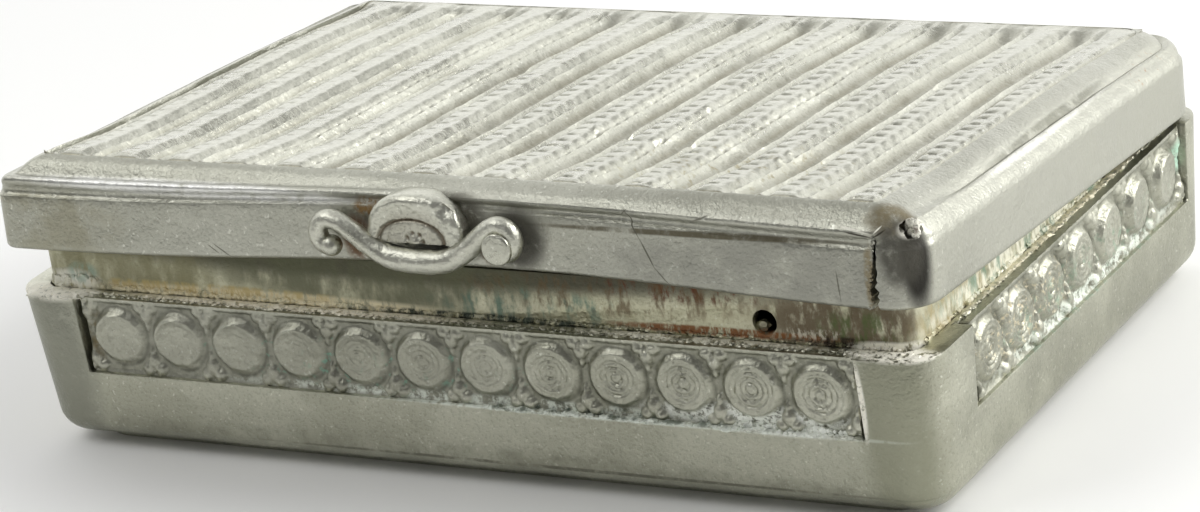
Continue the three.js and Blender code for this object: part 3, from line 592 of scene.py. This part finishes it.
strip = {
    "pitch": 5.0, "radius": 2.15, "height": 5.68, "ground": 0.46, "relief": 0.38, "endGap": 0.25,
    "step": 0.115, "shiftX": 0.08, "dish": 0.07, "tilt": 0.16, "beadRadius": 1.72, "beadWidth": 0.22,
    "bead": 0.11, "dimple": 0.12, "dimpleWidth": 0.13, "topRail": 0.26, "lowerRail": 0.12,
    "rings": ((0.42, 0.17, 0.10), (0.82, 0.15, 0.09), (1.2, 0.14, 0.09), (1.58, 0.10, 0.10)),
    "lobes": ((-0.5, 0.24, 0.56, 0.48, 0.42), (0.5, 0.24, 0.56, 0.48, 0.42),
              (0.0, 0.78, 0.55, 0.68, 0.48), (0.0, 1.45, 0.22, 0.55, 0.3))}


def roundelHeight(dx, dz, crisp, seed):    # height over the ground; the left ones are worn to plain dishes
    form = strip
    distance = math.hypot(dx, dz)
    if distance > form["radius"] + 0.12:
        return 0.0
    tilt = form["tilt"] * (dz - dx) / form["radius"] * (1.15 - crisp)
    flat = form["relief"] - form["dish"] * smooth(1.8, 0.7, distance)
    crescent = max(0.0, (dz - dx) / (1.5 * distance + 0.01))
    rimBead = form["bead"] * hump(distance - form["beadRadius"], form["beadWidth"]) * (0.3 + crescent)
    rings = 0.0
    for radius, depth, width in form["rings"]:
        wobble = 0.05 * rough(radius * 3 + seed, dx * 0.5, dz * 0.5)
        rings += depth * hump(distance - radius - wobble, width)
    dimple = form["dimple"] * hump(distance, form["dimpleWidth"])
    edge = smooth(form["radius"] + 0.1, form["radius"] - 0.5, distance)
    return edge * (flat + tilt + rimBead * (1.1 - crisp) - (0.12 + 0.88 * crisp) * (rings + dimple))


def leafHeight(x, z):    # trefoil between two roundels; x from its middle, z down its stem
    best = 0.0
    for lobeX, lobeZ, radiusX, radiusZ, rise in strip["lobes"]:
        far = math.hypot((x - lobeX) / radiusX, (z - lobeZ) / radiusZ)
        if far < 1:
            best = max(best, rise * (1 - far ** 2) ** 0.6)
    return best


def makeStrip(name, count, node, crispAt, place, seed):
    pitch, height, radius = strip["pitch"], strip["height"], strip["radius"]
    half = count * pitch / 2 + 0.5 - strip["endGap"]
    columns = round(2 * half / strip["step"])
    rows = round(height / strip["step"])

    def point(column, row):
        x = -half + 2 * half * column / columns
        z = height * row / rows
        index = min(max(round(x / pitch + (count - 1) / 2), 0), count - 1)
        centre = (index - (count - 1) / 2) * pitch
        crisp = crispAt(centre)
        dx = x - centre + 0.05 * rough(x, z, seed, 0.9)
        dz = z - height / 2 + 0.05 * rough(x, z, seed + 9, 0.9)
        distance = math.hypot(dx, dz)
        rise = roundelHeight(dx, dz, crisp, seed + index)
        across = x - (round(x / pitch + count / 2) - count / 2) * pitch
        if distance > radius - 0.1:
            leaf = max(leafHeight(across, height - 0.35 - z), leafHeight(across, z - 0.25))
            rise = max(rise, leaf * (0.75 + 0.35 * crisp))
        rise = max(rise, strip["topRail"] * smooth(height - 0.42, height - 0.26, z)
                   + strip["lowerRail"] * smooth(0.2, 0.06, z))
        # dirt in the crevice round each roundel, with painted shade added on its lower right side
        creviceDirtAndShade = hump(distance - radius - 0.12, 0.2)
        creviceDirtAndShade *= 0.45 + 0.55 * smooth(-0.6, 0.8, (dx - 0.6 * dz) / (distance + 0.01))
        dirtAndShade = max(creviceDirtAndShade, 0.45 * smooth(0.2, 0.0, rise)) * (0.9 + 0.5 * rough(x, z, seed + 4, 1.2))
        dirtAndShade = max(dirtAndShade, 0.9 * smooth(-half + 0.5, -half + 0.1, x) * crispAt(-99))
        rise += 0.045 * rough(x, z, seed, 2.2) + 0.025 * rough(x, z, seed, 6)
        return (x, -strip["ground"] - max(rise, -0.1), z, dirtAndShade)

    bm = sheet(columns, rows, point)
    closeBehind(bm, 1, 0)
    bmesh.ops.transform(bm, matrix=place, verts=bm.verts)
    finishPiece(name, bm, roundelPewter, "box", [node], crease=60)


stripBase = tray["recessDepth"]
makeStrip("roundelsFront", 12, "frieze_front", lambda x: smooth(-26, 22, x),
          Matrix.Translation((strip["shiftX"], -body["halfY"] + stripBase, recessFloor)), 3.0)
for side, label in ((1, "Right"), (-1, "Left")):
    turn = (Matrix.Translation((side * (body["halfX"] - stripBase), tray["sideShift"], recessFloor))
            @ Matrix.Rotation(side * math.pi / 2, 4, "Z"))
    makeStrip("roundels" + label, 7, "frieze_" + label.lower(), lambda x: smooth(16, -10, x), turn,
              21.0 + side)


# Lid

# The outside from the lower edge up: inset in front, height, inset at the sides
lidEdge = (
    (0, 0.6, 0), (0, 1.6, 0), (0, 2.6, 0), (0, 3.4, 0), (0, 3.85, 0), (0.03, 3.97, 0.01),
    (0.14, 4.05, 0.03), (0.26, 4.14, 0.06), (0.31, 4.3, 0.12), (0.29, 4.46, 0.21), (0.18, 4.62, 0.33),
    (0.07, 4.76, 0.46), (0.02, 4.9, 0.6), (0.05, 5.03, 0.74), (0.13, 5.13, 0.86), (0.24, 5.19, 0.97),
    (0.36, 5.21, 1.08), (0.44, 5.2, 1.22), (0.52, 5.22, 1.4), (0.61, 5.3, 1.6), (0.72, 5.44, 1.82),
    (0.85, 5.6, 2.05), (0.98, 5.75, 2.28), (1.12, 5.89, 2.52), (1.26, 6.01, 2.76), (1.4, 6.1, 2.98),
    (1.54, 6.17, 3.18), (1.66, 6.22, 3.34), (1.75, 6.25, 3.48), (1.79, 6.22, 3.52))
lidCorners = (4.4, 1.7, 1.1, 3.0)    # radii: back right, back left, front left, front right
crackForm = {"x": 32.6, "width": 0.5, "low": -1.0, "tall": 6.2, "steps": 40, "front": -47.5,
             "depth": 3.2, "burrY": -46.46, "burr": (0.13, 0.12, 0.17), "burrGap": 0.07}
chip = {"place": (35.42, -45.4, 5.5), "radii": (1.1, 0.92, 0.66), "flake": 0.23, "flakes": 13,
            "innerFlakes": 4, "pivot": (32.95, -43.55), "reach": 2.78}


def lidSection():    # from the inner ceiling round the lower edge and up to the panel seat
    wall, ceiling, radius = lid["wall"], lid["ceiling"], lid["lowerRadius"]
    section = [(inset, height, inset) for inset, height in (
        (wall + 0.35, ceiling), (wall + 0.1, ceiling - 0.1), (wall, ceiling - 0.35), (wall, 2.0),
        (wall, 0.35), (wall - 0.1, 0.1), (wall - 0.35, 0.0))]
    for step in range(6):
        angle = math.pi / 2 * step / 5
        inset = radius * (1 - math.sin(angle))
        section.append((inset, radius * (1 - math.cos(angle)), inset))
    return section + list(lidEdge) + [
        (lid["seatInset"], height, lid["seatSide"])
        for height in (lid["seatTop"], ceiling + lid["floor"])]


def lidColumns():    # places round the rim: corner, share of its quarter turn, share of the next side
    columns = []
    for corner, (arc, straight) in enumerate(((12, 24), (12, 28), (12, 90), (20, 28))):
        columns += [(corner, step / arc, 0.0) for step in range(arc + 1)]
        columns += [(corner, 1.0, step / straight) for step in range(1, straight)]
    return columns + [(0, 0.0, 0.0)]


def onRing(place, halfX, halfY, radii):
    corner, turn, along = place

    def arcPoint(k, share):
        signX, signY = ((1, 1), (-1, 1), (-1, -1), (1, -1))[k]
        angle = (k + share) * math.pi / 2
        return Vector((signX * (halfX - radii[k]) + radii[k] * math.cos(angle),
                       signY * (halfY - radii[k]) + radii[k] * math.sin(angle)))

    start = arcPoint(corner, turn)
    return start.lerp(arcPoint((corner + 1) % 4, 0.0), along) if along else start


def borderWear(x, y, height, front, side):    # how far the border stands off its section
    border, start = lid["borderFront"], lid["fullFrom"]
    filled = start + (lid["level"] - start) * (1 - (1 - min(front, border) / border) ** 1.5)
    inFront = smooth(0.75, 1.0, -y / lid["depth"])
    onSide = smooth(0.86, 0.95, abs(x) / body["halfX"]) * (1 - inFront)
    return (max(0.0, filled - height) * smooth(-6, 8, x) * inFront,
            onSide * (0.12 * hump(side - 1.05, 0.18) - 0.20 * hump(side - 1.62, 0.24)))


def cutCrack():    # returns the cutter and its outline as middle, width, height
    outline = []
    for step in range(crackForm["steps"] + 1):
        z = crackForm["low"] + crackForm["tall"] * step / crackForm["steps"]
        middle = crackForm["x"] + 0.16 * rough(z * 0.9, 3.3) + 0.08 * rough(z * 4, 1.2) + 0.05 * z
        width = crackForm["width"] * smooth(5.3, 1.8, z) * (1 + 0.6 * rough(z * 3, 7.7)) + 0.04
        outline.append((middle, width, z))
    crack = bmesh.new()
    left, right = ([crack.verts.new((x + side * w / 2, crackForm["front"], z)) for x, w, z in outline]
                   for side in (-1, 1))
    drawOut(crack, left + right[::-1], (0, crackForm["depth"], 0))
    return crack, outline


def makeLid():
    section, columns = lidSection(), lidColumns()
    ceilingRows, edgeRow, seatRow = 7, 13, len(section) - 3

    def point(column, row):
        front, height, side = section[row]
        if row < ceilingRows:
            radii = (lid["innerRadius"],) * 4
        elif row < seatRow:
            radii = [max(radius - 0.75 * side, 0.5) for radius in lidCorners]
        else:
            radii = (lid["seatRadius"],) * 4
        flat = onRing(columns[column], body["halfX"] - side, body["halfY"] - front, radii)
        x, y = flat.x, flat.y - hinge["y"]
        z = lid["bottom"] + height
        share = clamp((height - lid["wallHeight"]) / (lid["level"] - lid["wallHeight"]))
        if 2 < row < len(section) - 1:
            z += lidBow(x, y, share)
        if edgeRow < row < seatRow and height > 4.9:
            for rise in borderWear(x, y, height, front, side):
                z += rise
        if edgeRow - 2 < row < seatRow:    # uneven casting, and small dents in the wall
            push = abs(0.05 * rough(x / 5, y / 5, height / 5) + 0.015 * rough(x, y, height))
            outward = Vector((x, y + hinge["y"])).normalized()
            x -= outward.x * push
            y -= outward.y * push
            z += 0.035 * rough(x / 4, y / 4, 7)
        return (x, y, z)

    bm = sheet(len(columns) - 1, len(section) - 1, point)
    closeHoles(bm)
    half, room = hinge["length"] / 2 + hinge["room"], hinge["room"]
    notch = block((-half, -hinge["bearerDepth"] - room, -1), (half, 1.5, hinge["bearerHeight"] + room))
    crack, outline = cutCrack()
    crater = bmesh.new()
    crust(crater, [(*chip["place"], *chip["radii"])], 53, 3)
    cut(bm, [notch, crack, crater])
    for x, w, z in outline[9::2]:    # burred edge of the crack
        crust(bm, [(x - w / 2 - crackForm["burrGap"], crackForm["burrY"] - 0.05 * rough(z * 3, 5), z,
                    *crackForm["burr"])], z)
    centre, pivot, count = Vector(chip["place"]), Vector(chip["pivot"]), chip["flakes"]
    for number in range(count + chip["innerFlakes"]):    # ragged flakes round and in the chip
        angle = 2 * math.pi * number / count
        reach = 0.85 if number < count else 0.35
        spot = centre + Vector((reach * math.cos(angle) * chip["radii"][0],
                                0.1 - 0.55 * reach * math.cos(angle),
                                reach * math.sin(angle) * 0.55 - 0.12))
        away = spot.xy - pivot
        spot.xy = pivot + away * min(1, chip["reach"] / away.length)
        radius = chip["flake"] * (0.8 + 0.9 * abs(rough(number * 2.3, 9)))
        crust(bm, [(*spot, radius, radius, radius)], number)
    finishPiece("lidShell", bm, lidPewter, "lid", ["lid_shell"], crease=34)


makeLid()


# Ribbed panel

panel = {
    "turnX": -11.85, "left": 4, "right": 8, "pitchLeft": 4.56, "pitchRight": 5.38, "ropeHalf": 1.05,
    "ropeRise": 0.42, "strand": 1.34, "leftSlant": 0.15, "rightSlant": 0.55, "bulge": 0.08,
    "pitDepth": 0.3, "pitWidth": 0.085, "groove": 0.12, "fillet": 1.5, "filletWidth": 0.35,
    "filletRise": 0.22, "flute": 0.5, "rows": 296, "frontDense": 0.6, "seam": 0.1, "edge": 0.15,
    "seat": 0.25, "ochreRopes": (6, 8)}
ropeSteps = (-1.85, -1.68, -1.5, -1.3, -1.15, -1.02, -0.86, -0.7, -0.52, -0.34, -0.16, 0.04, 0.24, 0.44,
             0.64, 0.84, 1.02, 1.15, 1.3, 1.5, 1.68, 1.85)    # columns of the mesh across a rope
panelLumps = (    # x, y, radius, rise
    (21.5, -34.7, 0.8, 0.08), (21.3, -36.0, 0.5, 0.07), (11.5, -30.2, 0.9, 0.08), (11.3, -32.6, 0.7, 0.08),
    (5.0, -32.0, 0.8, 0.12), (10.5, -26.0, 0.7, 0.12), (10.8, -34.0, 0.4, -0.25), (8.2, -33.0, 0.4, -0.25),
    (13.6, -34.0, 0.4, -0.25), (-8.0, -20.0, 0.9, -0.12), (24.0, -18.0, 0.8, 0.12))


def ropeAt(index):
    return panel["turnX"] + index * panel["pitchLeft" if index < 0 else "pitchRight"]


def ribHeight(x, y):    # y from the hinge; returns the height and how much dirt and painted shade lies there
    form = panel
    half, strand = form["ropeHalf"], form["strand"]
    pitch = form["pitchLeft"] if x < form["turnX"] else form["pitchRight"]
    index = min(max(round((x - form["turnX"]) / pitch), -form["left"]), form["right"])
    t = x - ropeAt(index)
    far = abs(t)
    fluteStart = form["fillet"] + form["filletWidth"]
    patchy = smooth(-0.3, 0.3, rough(x / 5, y / 6, 8.0))
    if far < half + 0.1:
        flat = form["ropeRise"] * smooth(half + 0.1, half - 0.35, far)
        slant = form["rightSlant"] * t if t > 0 else -form["leftSlant"] * t
        place = (y + slant) / strand + 0.37 * index
        phase = place - round(place)
        clear = 0.18 + 0.82 * smooth(-14, 8, x) * smooth(-6, -24, y)    # crisp in front, worn elsewhere
        clear *= 0.5 + 0.5 * smooth(-0.35, 0.1, rough(x / 4, y / 5, 5.0))
        window = smooth(-0.98, -0.7, t) * smooth(-0.02, -0.22, t)
        pit = clear * window * hump(phase * strand, form["pitWidth"])
        bulge = form["bulge"] * clear * (abs(math.sin(math.pi * phase)) - 1) * smooth(1.1, 0.8, far)
        return flat + bulge - form["pitDepth"] * pit, 0.85 * pit
    if far < form["fillet"]:
        scallop = 0.07 * math.sin(2 * math.pi * y / strand + index) if t > 0 else 0.0
        # ochre dirt in the groove left of a rope, and a little painted shade in the groove right of it
        ochreAndShade = patchy * (0.95 if index in form["ochreRopes"] else 0.6) if t < 0 else 0.25 * patchy
        return -form["groove"] + scallop, ochreAndShade
    if far < fluteStart:
        return form["filletRise"] * math.sin(math.pi * (far - form["fillet"]) / form["filletWidth"]), 0.0
    share = (far - pitch / 2) / (pitch / 2 - fluteStart)
    shade = 0.6 * smooth(-1.1, -0.8, share) * smooth(0.35, -0.3, share)    # painted shade on the flute's left wall
    return -form["flute"] * max(0.0, 1 - share ** 2), shade * (0.7 + 0.4 * patchy)


def makePanel():
    form = panel
    halfX = body["halfX"] - lid["borderSide"] - form["seam"]
    halfY = body["halfY"] - lid["borderFront"] - form["seam"]
    top = lid["bottom"] + lid["level"] - lid["sink"]
    under = lid["bottom"] + lid["ceiling"] + lid["floor"] + form["seat"]
    across = {-halfX, halfX, -halfX + 0.12, halfX - 0.12}
    for index in range(-form["left"], form["right"] + 1):
        pitch = form["pitchLeft" if index < 0 else "pitchRight"]
        fluteWidth = pitch - 2 * (form["fillet"] + form["filletWidth"])
        across |= {ropeAt(index) + step for step in ropeSteps}
        across |= {ropeAt(index) + ropeSteps[-1] + fluteWidth * k / 4 for k in range(1, 4)}
    across = sorted(x for x in across if abs(x) <= halfX)
    rows = form["rows"]

    def point(column, row):
        x = across[column]
        share = row / rows * (form["frontDense"] + (1 - form["frontDense"]) * row / rows)
        y = -hinge["y"] - halfY + 2 * halfY * share
        sides, front, back = halfX - abs(x), y + hinge["y"] + halfY, halfY - y - hinge["y"]
        edge = min(sides, front, back)
        rib, dirtAndShade = ribHeight(x, y)
        height = rib * smooth(-0.1, 0.3, min(sides, back)) - form["edge"] * smooth(0.15, 0.0, edge)
        height += (lid["sink"] - rib) * smooth(0.7, -0.1, front)    # the ribs run out into the border
        height += (lid["sink"] - height) * smooth(3.2, -0.3, back)
        seamDirt = smooth(0.3, -0.02, edge) * (0.7 + 0.6 * rough(x * 0.5, y * 0.25, 8.0))
        dirtAndShade = max(dirtAndShade * smooth(-0.5, 4.0, back), seamDirt)
        for lumpX, lumpY, radius, rise in panelLumps:
            away = math.hypot(x - lumpX, y - lumpY) / radius
            if away < 2:
                height += rise * hump(away, 1) * (1 + 0.8 * rough(x, y, 2.0, 2))
        height += 0.06 * rough(x / 3, y / 3, 1.0) + 0.035 * rough(x, y, 4.0, 1.1)
        warp = 0.16 * rough(x / 9, y / 11, 2.0) * smooth(0.0, 1.5, sides)
        return (x + warp, y, top + height + lidBow(x, y, 1), dirtAndShade)

    bm = sheet(len(across) - 1, rows, point)
    closeBehind(bm, 2, under)
    finishPiece("ribbedPanel", bm, panelPewter, "lid", ["lid_panel"], crease=70)


makePanel()


# Thumbpiece

bow = {"spanLeft": 7.0, "spanRight": 6.35, "belly": 1.8, "shoulderLeft": 4.35, "shoulderRight": 4.6,
       "bellyRadius": 0.86, "endRadius": 0.66, "sag": 1.6, "volute": 1.15, "voluteInner": 0.72,
       "button": 1.1, "buttonEdge": 0.2, "proud": 0.25, "y": -47.78, "share": 0.66,
       "around": 28, "along": 150}


def bowPoint(t):
    side, span, shoulder = ((-1, bow["spanLeft"], bow["shoulderLeft"]) if t < 0.5
                            else (1, bow["spanRight"], bow["shoulderRight"]))
    run = abs(t - 0.5) * 2
    if run <= bow["share"]:
        x = run / bow["share"]
        rise = (1 - math.cos(math.pi * x ** bow["sag"])) / 2
        return Vector((side * x * span, bow["y"], bow["belly"] + (shoulder - bow["belly"]) * rise))
    turn = (run - bow["share"]) / (1 - bow["share"])
    angle = math.pi / 2 - turn * math.pi
    radius = bow["volute"] + (bow["voluteInner"] - bow["volute"]) * turn
    return Vector((side * (span + radius * math.cos(angle)), bow["y"],
                   shoulder - bow["volute"] + radius * math.sin(angle)))


def bowRadius(t):
    run = min(abs(t - 0.5) * 2 / bow["share"], 1)
    return bow["endRadius"] + (bow["bellyRadius"] - bow["endRadius"]) * (1 - run * run) ** 2


def makeScroll():
    around, along = bow["around"], bow["along"]

    def point(column, row):
        t = row / along
        centre = bowPoint(t)
        ahead = (bowPoint(min(t + 0.004, 1)) - bowPoint(max(t - 0.004, 0))).normalized()
        across = Vector((0, 1, 0))
        inPlane = ahead.cross(across)
        angle = 2 * math.pi * column / around
        end = min(row, along - row)
        radius = bowRadius(t) * (0.02 if end == 0 else min(1, 0.45 + 0.2 * end))
        radius *= 1 + 0.05 * rough(centre.x, centre.z, angle, 1.3)
        return centre + across * radius * math.cos(angle) + inPlane * radius * math.sin(angle)

    bm = sheet(around, along, point, 0.05)
    knob = bmesh.ops.create_icosphere(bm, subdivisions=3, radius=1.12 * bow["endRadius"])["verts"]
    move(bm, (-bow["spanLeft"], bow["y"], bow["shoulderLeft"] - bow["volute"] - bow["voluteInner"]), knob)
    depth = 1.5 * bow["endRadius"] + bow["proud"]
    button = cylinder(bm, bow["button"], depth, 40)
    rims = [e for e in bm.edges if e.verts[0] in button and e.verts[1] in button
            and abs(e.verts[0].co.z - e.verts[1].co.z) < 1e-4]
    bevel(bm, rims, bow["buttonEdge"], 3)
    button = [v for v in bm.verts if v.co.y > -10]    # all else is at the lid's front
    quarterTurn(bm, "X", button)
    move(bm, (bow["spanRight"], bow["y"] - bow["endRadius"] - bow["proud"] + depth / 2,
              bow["shoulderRight"] - bow["volute"] - 0.35 * bow["voluteInner"]), button)
    move(bm, (0, 0, lid["bottom"]))
    finishPiece("thumbScroll", bm, thumbPewter, "lid", ["thumb_scroll"], crease=45)


makeScroll()

shell = {"x": -0.45, "half": 3.75, "height": 3.35, "base": 3.025, "depth": 2.2, "square": 0.8,
             "round": 0.4, "faceShare": 0.8, "bendAt": 0.86, "arcHalf": 2.5, "arcHeight": 1.45,
             "arcDepth": 0.18, "rim": 0.12, "chip": 0.35, "petals": 7, "petalRadius": 0.62,
             "around": 96, "along": 60}


def makeShell():
    form = shell
    faceShare, bend, front = form["faceShare"], form["bendAt"], bow["y"]

    def point(column, row):
        angle = math.pi * column / form["around"]
        share = row / form["along"]
        acrossX = math.copysign(abs(math.cos(angle)) ** form["square"], math.cos(angle))
        reach = min(share / faceShare, 1)
        x = form["half"] * acrossX * reach
        z = form["height"] * abs(math.sin(angle)) ** form["square"] * reach
        out = max(0.0, reach - bend) / (1 - bend)
        y = front + form["round"] * (1 - math.sqrt(max(0, 1 - out * out)))
        if share > faceShare:
            y = front + form["round"] + (form["depth"] - form["round"]) * (share - faceShare) / 0.2
        dirtAndShade = 0.0
        if share < faceShare:
            arc = math.hypot((x + 0.25) / form["arcHalf"], (z - 0.15) / form["arcHeight"]) - 1
            y += form["arcDepth"] * hump(arc, 0.06) + 0.10 * smooth(0.72, 0.55, reach)
            y -= form["rim"] * hump(reach - bend, 0.1) * smooth(2.6, -0.5, x)
            y += form["chip"] * smooth(0.6, 0.1, math.hypot(x - 2.7, z - 2.6) / 1.6)
            dirtAndShade = 0.8 * hump(arc, 0.07) + 0.25 * smooth(0.8, 0.5, reach)
            away = math.hypot(x, z - 0.1)
            if away < 1.1:    # the rosette
                turn = form["petals"] * math.atan2(z - 0.1, x)
                pit = hump(away - form["petalRadius"], 0.16) * (0.5 + 0.5 * math.cos(turn))
                y += 0.16 * pit - 0.12 * hump(away, 0.3)
                dirtAndShade = max(dirtAndShade, pit)
        y += 0.05 * rough(x, z, 3, 1.3) + 0.03 * rough(x, z, 6, 4)
        return (form["x"] + x, y, form["base"] + z, dirtAndShade)

    bm = sheet(form["around"], form["along"], point)
    closeHoles(bm)
    finishPiece("thumbShell", bm, thumbPewter, "lid", ["thumb_shell"], crease=60)


makeShell()


# Hinge

def toHinge(bm, bodyName):    # the lid's own frame starts at the hinge already
    if bodyName == "box":
        move(bm, (0, hinge["y"], hinge["z"]))


def makeBearer(name, side, node, bodyName):
    bm = bmesh.new()
    face, trough, offset = hinge["face"], hinge["trough"], hinge["offset"]
    depth, height, half = hinge["bearerDepth"], hinge["bearerHeight"], hinge["length"] / 2
    start, end = math.asin(face / trough), math.acos(offset / trough)
    outline = [(-depth, side * face), (-depth, side * height), (-offset, side * height)]
    for step in range(17):
        angle = end + (start - end) * step / 16
        outline.append((-trough * math.cos(angle), side * trough * math.sin(angle)))
    drawOut(bm, [bm.verts.new((-half, y, z)) for y, z in outline], (2 * half, 0, 0))
    softenEdges(bm, hinge["edge"])
    toHinge(bm, bodyName)
    finishPiece(name, bm, hingePewter, bodyName, [node])


makeBearer("trayBearer", -1, "hinge_bearer_body", "box")
makeBearer("lidBearer", 1, "hinge_bearer_lid", "lid")


def makeKnuckle(place):
    bm = bmesh.new()
    pitch = hinge["length"] / hinge["knuckles"]
    half = (pitch - hinge["gap"]) / 2
    corner = [(hinge["bore"], 0)] + [(hinge["barrel"] - x, y) for x, y in hinge["rounding"]]
    profile = [(r, y - half) for r, y in corner] + [(r, half - y) for r, y in corner[::-1]]
    verts = [bm.verts.new((x, r, 0)) for r, x in profile]
    edges = [bm.edges.new((verts[i], verts[(i + 1) % len(verts)])) for i in range(len(verts))]
    bmesh.ops.spin(bm, geom=verts + edges, cent=(0, 0, 0), axis=(1, 0, 0), angle=2 * math.pi, steps=40,
                   use_merge=True)
    move(bm, ((place - (hinge["knuckles"] - 1) / 2) * pitch, 0, 0))
    bodyName, label, kind = ("lid", "lid", "lid") if place % 2 else ("box", "tray", "body")
    number = place // 2 + 1
    toHinge(bm, bodyName)
    finishPiece(f"{label}Knuckle{number}", bm, hingePewter, bodyName, [f"knuckle_{kind}_{number}"])


for place in range(hinge["knuckles"]):
    makeKnuckle(place)


def makePin():
    bm = bmesh.new()
    cylinder(bm, hinge["pin"], hinge["length"] - hinge["gap"], 32)
    softenEdges(bm, hinge["edge"])
    quarterTurn(bm, "Y")
    toHinge(bm, "box")
    finishPiece("hingePin", bm, pinBrass, "box", ["hinge_pin"])


makePin()


# Floor, light and camera

# A pale paper sweep rises behind the box, with a dim room above it, a lamp to the right and two overhead
studio = {
    "floor": "#f6f6f4", "worldLow": 0.20, "worldHigh": 1.52, "toLight": (-0.05, 1.0, 0.0),
    "edge": (-0.55, 0.45), "paperTop": (0.37, 0.58), "overhead": 0.32,
    "lamps": {"keyPanel": ((0.30, 0.12, 0.24), 0.25, 1.1), "topPanel": ((-0.32, 0.26, 0.48), 0.36, 0.2),
              "frontPanel": ((-0.30, -0.24, 0.48), 0.32, 0.95)}}
# Fitted to the box's edges and roundels: focal length and width in pixels, turns in degrees, place in metres
view = {"focal": 4429.62, "width": 1200, "sensor": 36, "around": 32.086, "down": 20.903, "roll": -8.68,
        "place": (0.155161, -0.249760, 0.119999)}


def makeFloor():
    bm = bmesh.new()
    bmesh.ops.create_grid(bm, x_segments=1, y_segments=1, size=3)
    floor = asObject("floor", bm)
    bm.free()
    paper = bpy.data.materials.new("studioPaper")
    paper.use_nodes = True
    shader = paper.node_tree.nodes["Principled BSDF"]
    shader.inputs["Base Color"].default_value = linear(studio["floor"])
    shader.inputs["Roughness"].default_value = 0.9
    floor.data.materials.append(paper)


def makeLight():
    scene = bpy.context.scene
    world = bpy.data.worlds.new("studio")
    scene.world = world
    world.use_nodes = True
    tree = world.node_tree
    background = tree.nodes["Background"]
    direction = add(tree, "TexCoord").outputs["Generated"]
    towards = add(tree, "VectorMath", {0: direction, 1: studio["toLight"]}, operation="DOT_PRODUCT")
    height = add(tree, "SeparateXYZ", {0: direction}).outputs["Z"]
    level = times(ramp(towards.outputs["Value"], *studio["edge"], 0.0, studio["worldHigh"]),
                  ramp(height, *studio["paperTop"], 1.0, studio["overhead"]))
    tree.links.new(plus(level, studio["worldLow"], False), background.inputs["Strength"])
    background.inputs["Color"].default_value = (1, 1, 1, 1)
    for name, (place, size, watts) in studio["lamps"].items():
        light = bpy.data.lights.new(name, "AREA")
        light.shape = "SQUARE"
        light.size = size
        light.energy = watts
        lamp = bpy.data.objects.new(name, light)
        lamp.location = place
        lamp.rotation_euler = Vector(place).to_track_quat("Z", "Y").to_euler()
        scene.collection.objects.link(lamp)


def makeCamera():
    scene = bpy.context.scene
    lens = bpy.data.cameras.new("camera")
    lens.lens = view["focal"] / view["width"] * view["sensor"]
    lens.clip_start = 0.01
    lens.clip_end = 20
    camera = bpy.data.objects.new("camera", lens)
    scene.collection.objects.link(camera)
    around, down, roll = (math.radians(view[turn]) for turn in ("around", "down", "roll"))
    ahead = Vector((-math.sin(around) * math.cos(down), math.cos(around) * math.cos(down), -math.sin(down)))
    right = Vector((math.cos(around), math.sin(around), 0))
    up = right.cross(ahead)
    across = right * math.cos(roll) + up * math.sin(roll)
    upward = up * math.cos(roll) - right * math.sin(roll)
    turn = Matrix((across, upward, -ahead)).transposed().to_4x4()
    turn.translation = view["place"]
    camera.matrix_world = turn
    scene.camera = camera
    scene.view_settings.view_transform = "Standard"


makeFloor()
makeLight()
makeCamera()
print("floor, light and camera made")
